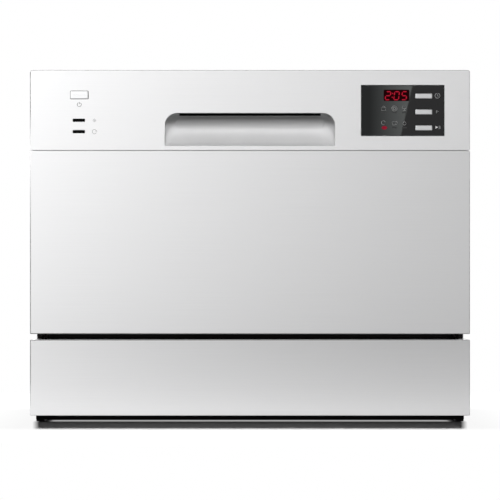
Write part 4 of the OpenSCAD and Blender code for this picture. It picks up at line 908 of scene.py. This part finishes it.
class DISHWASHER_OT_display(bpy.types.Operator):
    """Black display window, its digits, symbols and lamps, and the silver buttons"""

    bl_idname = "dishwasher.display"
    bl_label = "Display and buttons"

    def execute(self, context):
        self.window()
        self.caps(context.scene.dishwasher_look.key_edge)
        self.digits()
        self.window_symbols()
        self.programme_lamps()
        self.left_symbols()
        return {"FINISHED"}

    def window(self):
        outline = centred(WINDOW_X, WINDOW_Z, 52 * MM, 31.7 * MM, 0.8 * MM)
        holes = [around(node, 0.3 * MM, 1 * MM, 4) for node in WINDOW_KEYS]
        bm = bmesh.new()
        pressed_panel(bm, outline, front_place, 3.9 * MM, 0.3 * MM, 1 * MM, holes, 0.2 * MM, 3 * MM)
        finish_piece("display_pane", bm, "display_glass", "door", ["display_window"])

    def caps(self, edge):
        """The buttons, with the shape of a pillow."""
        for node in (*WINDOW_KEYS, "power_button"):
            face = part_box(node)[0][1]
            bm = bmesh.new()
            pressed_panel(bm, around(node, 0, 1 * MM, 5), facing(face), 3.6 * MM, edge, 1.2 * MM, steps=6)
            finish = "power_silver" if node == "power_button" else "key_silver"
            finish_piece(node + "_cap", bm, finish, node + "_key", [node])

    def digits(self):
        """Three slanted seven-bar digits with a colon between the hours and the minutes."""
        bars = {
            "a": (0.12, 1.0, 0.88, 1.0), "g": (0.12, 0.5, 0.88, 0.5), "d": (0.12, 0.0, 0.88, 0.0),
            "f": (0.0, 0.93, 0.0, 0.57), "b": (1.0, 0.93, 1.0, 0.57), "e": (0.0, 0.43, 0.0, 0.07),
            "c": (1.0, 0.43, 1.0, 0.07),
        }
        shown = {0: "abcdef", 2: "abged", 5: "afgcd"}
        foot, high, wide, slant, half_bar = 402.8, 10.1, 5.9, 1.4, 0.66
        lit, unlit = [], []
        for digit, left in ((2, 168.9), (0, 179.6), (5, 189.2)):
            for bar, (u0, v0, u1, v1) in bars.items():
                p = Vector((left + u0 * wide + v0 * slant, foot + v0 * high))
                q = Vector((left + u1 * wide + v1 * slant, foot + v1 * high))
                tip = (q - p).normalized() * half_bar
                side = Vector((-tip.y, tip.x))
                shape = [p - tip * 0.4, p + side + tip * 0.5, q + side - tip * 0.5, q + tip * 0.4,
                         q - side - tip * 0.5, p - side + tip * 0.5]
                (lit if bar in shown[digit] else unlit).append(shape)
        for z in (406.0, 410.6):
            lit.append(oval(177.3 + (z - foot) / high * slant, z, 0.8, 0.8, 8))
        printed("time_digits", lit, "red_segment", 0.06)
        printed("unlit_bars", unlit, "red_glow", 0.06)
        field = rounded(167 * MM, 199.2 * MM, 401.2 * MM, 415.4 * MM, [1.5 * MM] * 4, 4)
        printed("digit_field", [in_mm(field(0))], "red_glow", 0.02)

    def window_symbols(self):
        """Pot, plate, glass, leaf, cup and drop in two rows, and the marks beside the three buttons."""
        signs = []
        for sign, x, z in zip((POT, PLATE, GLASS, LEAF, CUP, DROP), COLUMNS * 2,
                              [ROWS[0]] * 3 + [ROWS[1]] * 3):
            signs += moved(sign, x, z, 1.3)
        strokes("wash_symbols", signs, "symbol_ink", 0.7)
        x = 234.4
        marks = moved(CLOCK, x, 407.8) + moved(FLAG, x, 388.3) + moved(PAUSE, x, 368.4)
        strokes("key_symbols", marks, "pale_ink", 0.5)
        arrow = [(x - 2.6, 370.2), (x - 2.6, 366.6), (x + 0.6, 368.4)]
        printed("start_mark", [arrow], "bright_ink", 0.06)

    def programme_lamps(self):
        """A dark lamp under each symbol, and one that is lit."""
        lit = (COLUMNS[0], LAMP_ROWS[1])
        wide, high = 2.9, 0.9
        lamps = []
        for x in COLUMNS:
            for z in LAMP_ROWS:
                if (x, z) != lit:
                    lamps.append([(x - wide, z - high), (x + wide, z - high),
                                  (x + wide, z + high), (x - wide, z + high)])
        printed("programme_lamps", lamps, "dark_ink", 0.05)
        printed("lit_programme_lamp", [oval(lit[0] + 1.1, lit[1] - 0.2, 3.5, 2.3, 16)], "red_lamp", 0.05)

    def left_symbols(self):
        """Marks round the power button and beside the two lamps on the left."""
        strokes("power_symbol", moved(POWER, -213.4, 396.9), "grey_ink", 0.6)
        x = -194.4
        strokes("lamp_symbols", moved(SUN, x, 377.0) + moved(TURN, x, 362.9), "grey_ink", 0.5)
        bezel = in_mm(around("power_button", 0.2 * MM, 1.2 * MM, 4)(0))
        strokes("power_bezel", [bezel + bezel[:1]], "grey_ink", 0.55)
        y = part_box("power_button")[0][1] + 0.28 * MM
        line = [(x * MM, y, 408.8 * MM) for x in (-221.3, -205.4)]
        wires("power_button_mark", [(line, 0.3 * MM, False)], "grey_ink", "power_button_key",
              sides=1)


# ---------------------------------------------------------------- cabinet
class DISHWASHER_OT_cabinet(bpy.types.Operator):
    """Top cover, side sheets and screws"""

    bl_idname = "dishwasher.cabinet"
    bl_label = "Cabinet sheets"

    def execute(self, context):
        self.top_cover()
        self.side_panel("left_side_panel", -1)
        self.side_panel("right_side_panel", 1)
        self.screws("cabinet_screws", "cabinet", 3.6 * MM)
        self.screws("door_screws", "door", 3.2 * MM)
        return {"FINISHED"}

    def top_cover(self):
        lo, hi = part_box("top_cover")
        bm = bmesh.new()
        pressed_panel(bm, rounded(lo[0], hi[0], lo[1], hi[1], [3 * MM] * 4, 5, 2),
                      lambda u, v, w: (u, v, hi[2] - w), hi[2] - lo[2], 2.0 * MM, 1.2 * MM)
        finish_piece("top_cover_sheet", bm, "cabinet_silver", "cabinet", ["top_cover"])

    def side_panel(self, node, side):
        lo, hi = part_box(node)
        outer = max(abs(lo[0]), abs(hi[0]))
        above_kick_plate = 0.15

        def depth(u, v):
            """The front edge has a wide flange above the kick plate."""
            return 12.5 * MM if u < lo[1] + 0.6 * MM and v > above_kick_plate else 1 * MM

        bm = bmesh.new()
        pressed_panel(bm, rounded(lo[1], hi[1], lo[2], hi[2], [1 * MM] * 4, 4, 24),
                      lambda u, v, w: (side * (outer - w), u, v), depth, 0.6 * MM, 0.9 * MM)
        finish_piece(node + "_sheet", bm, "cabinet_silver", "cabinet", [node])

    def screws(self, node, body, r):
        """Pan heads with a cross recess, one for each screw of the node."""
        lo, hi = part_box(node)
        apart = 9 * MM
        groups = []
        for v in frame["nodes"][node].data.vertices:
            for g in groups:
                if abs(g[0][0] - v.co.x) < apart and abs(g[0][1] - v.co.z) < apart:
                    g.append((v.co.x, v.co.z))
                    break
            else:
                groups.append([(v.co.x, v.co.z)])
        recess = 1.1 * MM
        bm = bmesh.new()
        for g in groups:
            x, z = ((min(p[i] for p in g) + max(p[i] for p in g)) / 2 for i in (0, 1))
            cross = cross_shape(x, z, 0.55 * r, 0.13 * r)
            pressed_panel(bm, disc(x, z, r, 20), lambda u, v, w: (u, hi[1] - w, v), hi[1] - lo[1],
                          0.9 * MM, 0.5 * MM, [cross], 0.1 * MM, recess)
            bm.faces.new([bm.verts.new((u, hi[1] - recess, v)) for u, v in cross(0)])
        finish_piece(node + "_heads", bm, "bright_steel", body, [node])


def cross_shape(x, z, arm, half):
    """The outline of a screw head's cross, that can be drawn inset."""
    def at(inset):
        a, h = arm - inset, half - inset
        quarter = [(-a, -h), (-h, -h), (-h, -a)]
        shape = []
        for _ in range(4):
            shape += [(x + u, z + v) for u, v in quarter]
            quarter = [(-v, u) for u, v in quarter]
        return shape

    return at


# ---------------------------------------------------------------- basket
RIM_R = 2.4 * MM
WIRE_R = 1.7 * MM
BASKET_HALF = 210 * MM
RIM_INSET = 2.9 * MM
SIDE_WIRES = 9
CROSS_WIRES = 11


def spread(start, end, margin, count):
    """Evenly spaced places between two ends."""
    return [start + margin + (end - start - 2 * margin) * k / (count - 1) for k in range(count)]


def basket_depth():
    """The rims' front and back."""
    lo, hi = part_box("dish_basket")
    return lo[1] + RIM_INSET, hi[1] - RIM_INSET


def side_wire_places():
    return spread(*basket_depth(), 24 * MM, SIDE_WIRES)


def cross_wire_places():
    return spread(-BASKET_HALF, BASKET_HALF, 22 * MM, CROSS_WIRES)


class DISHWASHER_OT_basket(bpy.types.Operator):
    """Dish basket of bent wire, its tines, the cup shelf and the wheel carriers"""

    bl_idname = "dishwasher.basket"
    bl_label = "Dish basket"

    def execute(self, context):
        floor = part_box("plate_tines")[0][2] - WIRE_R
        self.frame_wires(floor, context.scene.dishwasher_look.rim_bend)
        self.wheel_carriers()
        self.shelf_clips()
        self.tines(floor)
        self.cup_shelf()
        return {"FINISHED"}

    def frame_wires(self, floor, rim_bend):
        """Three rims, the wires that run under the basket, and those that run from front to back."""
        half = BASKET_HALF
        y0, y1 = basket_depth()
        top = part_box("dish_basket")[1][2] - RIM_R
        under = floor - 2.6 * MM
        low_rim = floor + RIM_R + 2 * WIRE_R + 0.2 * MM
        outside = 1.2 * MM
        bend = 9 * MM
        loop = rounded(-half, half, y0, y1, [rim_bend] * 4, 8, 2)(0)
        runs = []
        for z, r in ((top, RIM_R), (low_rim, RIM_R), ((top + low_rim) / 2, WIRE_R)):
            runs.append(([(x, y, z) for x, y in loop], r, True))
        side = half + outside
        for y in side_wire_places():
            path = bent([(-side, y, top), (-side, y, under), (side, y, under), (side, y, top)], bend)
            runs.append((path, WIRE_R, False))
        front, back = y0 - outside, y1 + outside
        for x in cross_wire_places():
            path = bent([(x, front, top), (x, front, floor), (x, back, floor), (x, back, top)], bend)
            runs.append((path, WIRE_R, False))
        wires("basket_wires", runs, "wire_coat", "basket", ["dish_basket"])

    def tines(self, floor):
        """Two rows of upright tines, each on a wire along the basket's floor."""
        lo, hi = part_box("plate_tines")
        tip = hi[2] - 1.2 * MM
        base = floor + 2.2 * MM
        xs = cross_wire_places()[1:8]
        runs = []
        for y in (lo[1] + WIRE_R, hi[1] - WIRE_R):
            for x in xs:
                heights = (floor, tip - 6 * MM, tip - 1 * MM, tip, tip + 0.9 * MM)
                runs.append(([(x, y, z) for z in heights], WIRE_R, False))
            runs.append(([(xs[0] - 4 * MM, y, base), (xs[-1] + 1.2 * MM, y, base)], WIRE_R * 0.8, False))
        wires("tine_wires", runs, "wire_coat", "basket", ["plate_tines"])

    def cup_shelf(self):
        """A rim, six wires across it and one along its middle."""
        lo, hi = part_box("cup_shelf")
        z = (lo[2] + hi[2]) / 2
        r, thin = 2 * MM, WIRE_R * 0.95
        left, right = lo[0] + r, hi[0] - r
        front, back = lo[1] + 1.7 * MM, hi[1] - 1.7 * MM
        radii = [0.5 * MM, 12 * MM, 12 * MM, 0.5 * MM]
        loop = rounded(left, right, front, back, radii, 6)(0)
        runs = [([(x, y, z) for x, y in loop], r, True)]
        for y in spread(front, back, 0, 8)[1:-1]:
            runs.append(([(left, y, z), (right, y, z)], thin, False))
        middle = (lo[0] + hi[0]) / 2
        runs.append(([(middle, lo[1] + 2 * MM, z), (middle, hi[1] - 2 * MM, z)], thin, False))
        wires("cup_shelf_wires", runs, "wire_coat", "shelf", ["cup_shelf"])

    def wheel_carriers(self):
        """Grey carriers that hold the wheels' axles on both sides."""
        turned = Matrix.Rotation(math.pi / 2, 4, "Y")
        steps = ((4.5, 211.5, 222), (3, 221, 233), (4.2, 231.9, 233))
        bm = bmesh.new()
        for side in (-1, 1):
            for pair in ((1, 2), (3, 4)):
                boxes = [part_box(f"wheel_pair_{k}") for k in pair]
                ys = [(lo[1] + hi[1]) / 2 for lo, hi in boxes]
                z = (boxes[0][0][2] + boxes[0][1][2]) / 2
                x0, x1 = sorted((side * 209 * MM, side * 212 * MM))
                block(bm, (x0, ys[0] - 8 * MM, z - 6 * MM), (x1, ys[1] + 8 * MM, z + 15.5 * MM))
                for y in ys:
                    for r, near, far in steps:
                        place = Matrix.Translation((side * (near + far) / 2 * MM, y, z))
                        bmesh.ops.create_cone(bm, cap_ends=True, segments=24, radius1=r * MM,
                                              radius2=r * MM, depth=(far - near) * MM,
                                              matrix=place @ turned)
        piece = finish_piece("wheel_carriers", bm, "grey_plastic", "basket",
                             weighted=False)
        bevelled(piece, 0.5 * MM)

    def shelf_clips(self):
        """Two clips on the basket's side, in which the cup shelf turns."""
        lo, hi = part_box("cup_shelf")
        x = lo[0] + 2 * MM
        z = (lo[2] + hi[2]) / 2
        bm = bmesh.new()
        for k in (2, 6):
            y = side_wire_places()[k]
            block(bm, (x - 7.6 * MM, y - 3 * MM, z - 4.6 * MM), (x + 4.2 * MM, y + 3 * MM, z + 4.6 * MM))
        piece = finish_piece("shelf_clips", bm, "grey_plastic", "basket",
                             weighted=False)
        bevelled(piece, 1.2 * MM, 3)


class DISHWASHER_OT_springs(bpy.types.Operator):
    """Coiled door springs in the cabinet's sides"""

    bl_idname = "dishwasher.springs"
    bl_label = "Door springs"

    def execute(self, context):
        runs = []
        for side in (-1, 1):
            runs += self.spring(side, context.scene.dishwasher_look.spring_turns)
        wires("coiled_springs", runs, "bright_steel", "cabinet", ["door_springs"], sides=1)
        return {"FINISHED"}

    def spring(self, side, turns):
        """A coil that narrows at both ends, a straight end at each, and the hook in the hinge arm."""
        x = side * 253.0 * MM
        coil_r, wire_r, end_r = 5.9 * MM, 1.0 * MM, 1.1 * MM
        points_per_turn = 12
        a = Vector((x, -218.6 * MM, 91 * MM))
        b = Vector((x, 37.9 * MM, 45 * MM))
        d = (b - a).normalized()
        start, end = a + d * 44 * MM, b - d * 14 * MM
        across = Vector((side, 0, 0))
        up = d.cross(across)
        coil = []
        for i in range(turns * points_per_turn + 1):
            t = i / (turns * points_per_turn)
            angle = 2 * math.pi * turns * t
            r = coil_r * min(1, 8 * t + 0.15, 8 * (1 - t) + 0.15)
            coil.append(start.lerp(end, t) + (across * math.cos(angle) + up * math.sin(angle)) * r)
        straight = [
            [a, start + across * 0.8 * MM],
            [end, b - d * 2 * MM],
            [a - across * 1 * MM, a + across * 5.2 * MM],
        ]
        return [(coil, wire_r, False)] + [(points, end_r, False) for points in straight]


class DISHWASHER_OT_soften(bpy.types.Operator):
    """Rounds the edges of the carried-over nodes that show"""

    bl_idname = "dishwasher.soften"
    bl_label = "Soft edges"

    def execute(self, context):
        for node, width in (("latch_paddle", 0.5), ("lip_seal", 1.2), ("dispenser_lid", 0.5),
                            ("cutlery_basket", 0.4)):
            soften(node, width * MM)
        return {"FINISHED"}


# ---------------------------------------------------------------- stage
class DISHWASHER_OT_stage(bpy.types.Operator):
    """White floor, plain light and the camera"""

    bl_idname = "dishwasher.stage"
    bl_label = "Stage"

    def execute(self, context):
        stage = context.scene.dishwasher_stage
        context.scene.view_settings.view_transform = "Standard"
        floor = self.floor()
        self.world(stage.fill)
        self.lamps(stage, floor)
        self.card(stage)
        self.camera(stage)
        return {"FINISHED"}

    def floor(self):
        size, drop = 3, 0.0002
        corners = [(-size, -size, 0), (size, -size, 0), (size, size, 0), (-size, size, 0)]
        floor = self.sheet("floor", corners, self.floor_finish())
        floor.location.z = -drop
        return floor

    def sheet(self, name, corners, finish):
        """A flat sheet that belongs to the stage."""
        mesh = bpy.data.meshes.new(name)
        mesh.from_pydata(corners, [], [(0, 1, 2, 3)])
        mesh.materials.append(finish)
        made = placed(name, mesh)
        return made

    def floor_finish(self):
        """White to the camera far off and beside the object, where the shadow narrows towards the front."""
        s = Shader("white_floor", (0.12, 0.12, 0.12), 0.9, Specular_IOR_Level=0.0)
        dull = s.node("ShaderNodeBsdfDiffuse")
        dull.inputs["Color"].default_value = (0.025, 0.025, 0.025, 1)
        white = s.node("ShaderNodeEmission", Strength=1.0).outputs[0]
        path = s.node("ShaderNodeLightPath").outputs
        mirrored = s.blend(path["Is Glossy Ray"], dull.outputs[0], white)
        distance = s.node("ShaderNodeVectorMath", operation="LENGTH")
        s.join(s.coords(), distance.inputs[0])
        far = s.span(distance.outputs["Value"], 0.5, 0.85)
        axes = s.axes()
        narrowing = 0.054
        ahead = s.maths("MINIMUM", axes["Y"], FRONT)
        tapered = s.maths("MULTIPLY_ADD", ahead, -narrowing, s.maths("ABSOLUTE", axes["X"]))
        beside = s.span(tapered, 0.264 - narrowing * FRONT, 0.272 - narrowing * FRONT, 0.0, 0.93)
        near = s.blend(s.maths("MAXIMUM", far, beside), s.base.outputs[0], white)
        s.join(s.blend(path["Is Camera Ray"], mirrored, near), s.out.inputs["Surface"])
        return s.material

    def world(self, fill):
        """White to the camera, to mirrors and through glass, and a dim even light for the rest."""
        world = bpy.data.worlds.new("white_room")
        bpy.context.scene.world = world
        world.use_nodes = True
        tree = world.node_tree
        tree.nodes.clear()
        out = tree.nodes.new("ShaderNodeOutputWorld")
        path = tree.nodes.new("ShaderNodeLightPath")
        seen = path.outputs["Is Camera Ray"]
        for ray in ("Is Glossy Ray", "Is Transmission Ray"):
            either = tree.nodes.new("ShaderNodeMath")
            either.operation = "MAXIMUM"
            tree.links.new(seen, either.inputs[0])
            tree.links.new(path.outputs[ray], either.inputs[1])
            seen = either.outputs[0]
        mix = tree.nodes.new("ShaderNodeMixShader")
        tree.links.new(seen, mix.inputs[0])
        for socket, strength in ((1, fill), (2, 1.0)):
            light = tree.nodes.new("ShaderNodeBackground")
            light.inputs["Color"].default_value = (1, 1, 1, 1)
            light.inputs["Strength"].default_value = strength
            tree.links.new(light.outputs[0], mix.inputs[socket])
        tree.links.new(mix.outputs[0], out.inputs["Surface"])

    def lamps(self, stage, floor):
        """Area lamps. Most light only some pieces, so that no pale surface clips to white."""
        pieces = bpy.data.objects
        kick, recess = pieces["kick_plate_sheet"], pieces["handle_recess"]
        fascia, sheet = pieces["control_panel_moulding"], pieces["door_outer_panel_sheet"]
        cover, liner = pieces["top_cover_sheet"], pieces["door_liner"]
        rest = self.share("door_and_cabinet", "EXCLUDE", floor, kick, recess, cover)
        body = self.share("whole_object", "EXCLUDE", floor)
        above = self.share("seen_from_above", "EXCLUDE", floor, liner)
        below_top = self.share("all_but_the_top", "EXCLUDE", floor, cover)
        behind = self.share("behind_the_front", "EXCLUDE", floor, kick, fascia, sheet)
        only_kick = self.share("kick_plate_alone", "INCLUDE", kick)
        only_recess = self.share("recess_alone", "INCLUDE", recess)
        only_fascia = self.share("control_panel_alone", "INCLUDE", fascia)
        only_cover = self.share("top_cover_alone", "INCLUDE", cover)
        only_floor = self.share("floor_alone", "INCLUDE", floor)
        key, side, ground = stage.key, stage.side, stage.floor
        gap_y = FRONT + 0.041
        for name, at, to, size, power, group in (
            ("key_light", (-1.1, -1.1, 1.0), (0, FRONT, 0.24), (0.4, 0.4), key, rest),
            ("kick_light", (-0.7, -0.6, 0.6), (0, FRONT, 0.05), (0.3, 0.3), key * 0.226, only_kick),
            ("recess_light", (0, -1.3, 0.9), (0, FRONT, 0.366), (0.5, 0.6), key * 0.305, only_recess),
            ("fascia_light", (0.8, -1.2, 0.9), (0, FRONT, 0.39), (0.4, 0.4), key * 0.085, only_fascia),
            ("low_light", (0, FRONT - 0.12, 0.006), (0, FRONT, 0.03), (0.9, 0.01), stage.low, only_kick),
            ("top_light", (0.2, 0.4, 2.2), (0, 0, 0.2), (1.2, 1.2), stage.top, above),
            ("cover_light", (-1.4, -1.4, 2.0), (0, 0, 0.44), (1.5, 1.5), key * 0.45, only_cover),
            ("side_light", (2.2, 0.5, 0.9), (0.2, 0, 0.2), (1.0, 1.0), side, body),
            ("far_side_light", (-2.2, 0.5, 0.9), (-0.2, 0, 0.2), (1.0, 1.0), side * 0.3, behind),
            ("back_light", (0.3, 2.4, 1.0), (0, 0.2, 0.2), (2.0, 2.0), side, below_top),
            ("floor_light", (0, 0.6, 2.2), (0, -0.4, 0), (0.5, 0.4), ground, only_floor),
            ("soft_floor_light", (0, 0.15, 2.2), (0, -0.3, 0), (0.5, 0.5), ground * 0.02, only_floor),
            ("gap_light", (0, gap_y, 0.0022), (0, gap_y, 0), (0.5, 0.04), 0.22, only_floor),
        ):
            self.lamp(name, at, to, size, power, group)

    def share(self, name, state, *pieces):
        """A collection that keeps a lamp off these pieces, or on them alone."""
        group = bpy.data.collections.new(name)
        for piece in pieces:
            group.objects.link(piece)
        for member in group.collection_objects:
            member.light_linking.link_state = state
        return group

    def lamp(self, name, at, to, size, power, group):
        data = bpy.data.lights.new(name, "AREA")
        data.shape = "RECTANGLE"
        data.size, data.size_y = size
        data.energy = power
        lamp = placed(name, data)
        lamp.location = at
        lamp.rotation_mode = "QUATERNION"
        lamp.rotation_quaternion = (Vector(to) - Vector(at)).to_track_quat("-Z", "Y")
        lamp.light_linking.receiver_collection = group

    def card(self, stage):
        """A slanted bright card in front, which only the display glass mirrors."""
        eye = Vector((0, stage.eye))
        away = 2.5
        grow = 1 + away / stage.distance
        glare = [(0.128, 0.345), (0.1854, 0.345), (0.2061, 0.434), (0.128, 0.434)]
        points = []
        for spot in glare:
            p = eye + (Vector(spot) - eye) * grow
            points.append((p.x, FRONT - away, p.y))
        s = Shader("card_light", (0, 0, 0), 1.0)
        glow = s.node("ShaderNodeEmission")
        glow.inputs["Color"].default_value = (0.94, 1.0, 0.98, 1)
        strength = s.span(s.axes()["X"], 0.15 * grow, 0.205 * grow, 0.75, 4.6)
        s.join(strength, glow.inputs["Strength"])
        s.join(glow.outputs[0], s.out.inputs["Surface"])
        card = self.sheet("bright_card", points, s.material)
        card.visible_camera = False
        card.visible_diffuse = False
        card.visible_shadow = False
        card.visible_transmission = False

    def camera(self, stage):
        data = bpy.data.cameras.new("camera")
        data.sensor_width = 36
        data.lens = stage.lens
        data.clip_start, data.clip_end = 0.1, 60
        camera = placed("camera", data)
        camera.location = (0, FRONT - stage.distance, stage.eye)
        camera.rotation_euler = (math.pi / 2, 0, 0)
        bpy.context.scene.camera = camera


OPERATORS = (
    DISHWASHER_OT_finishes,
    DISHWASHER_OT_door_front,
    DISHWASHER_OT_control_panel,
    DISHWASHER_OT_display,
    DISHWASHER_OT_cabinet,
    DISHWASHER_OT_basket,
    DISHWASHER_OT_springs,
    DISHWASHER_OT_soften,
    DISHWASHER_OT_stage,
)


class DISHWASHER_PT_panel(bpy.types.Panel):
    """Lists the dishwasher's sizes, colours and pieces"""

    bl_idname = "DISHWASHER_PT_panel"
    bl_label = "Dishwasher"
    bl_space_type = "VIEW_3D"
    bl_region_type = "UI"
    bl_category = "Dishwasher"

    def draw(self, context):
        for settings in (context.scene.dishwasher_look, context.scene.dishwasher_stage):
            for prop in settings.__annotations__:
                self.layout.prop(settings, prop)
        for operator in OPERATORS:
            self.layout.operator(operator.bl_idname)


CLASSES = (DishwasherLook, DishwasherStage, *OPERATORS, DISHWASHER_PT_panel)


def register():
    for made in CLASSES:
        bpy.utils.register_class(made)
    bpy.types.Scene.dishwasher_look = PointerProperty(type=DishwasherLook)
    bpy.types.Scene.dishwasher_stage = PointerProperty(type=DishwasherStage)


def unregister():
    del bpy.types.Scene.dishwasher_stage
    del bpy.types.Scene.dishwasher_look
    for made in reversed(CLASSES):
        bpy.utils.unregister_class(made)


def main():
    register()
    for operator in OPERATORS:
        getattr(bpy.ops.dishwasher, operator.bl_idname.split(".")[1])()
    bpy.context.view_layer.update()


if __name__ == "__main__":
    main()
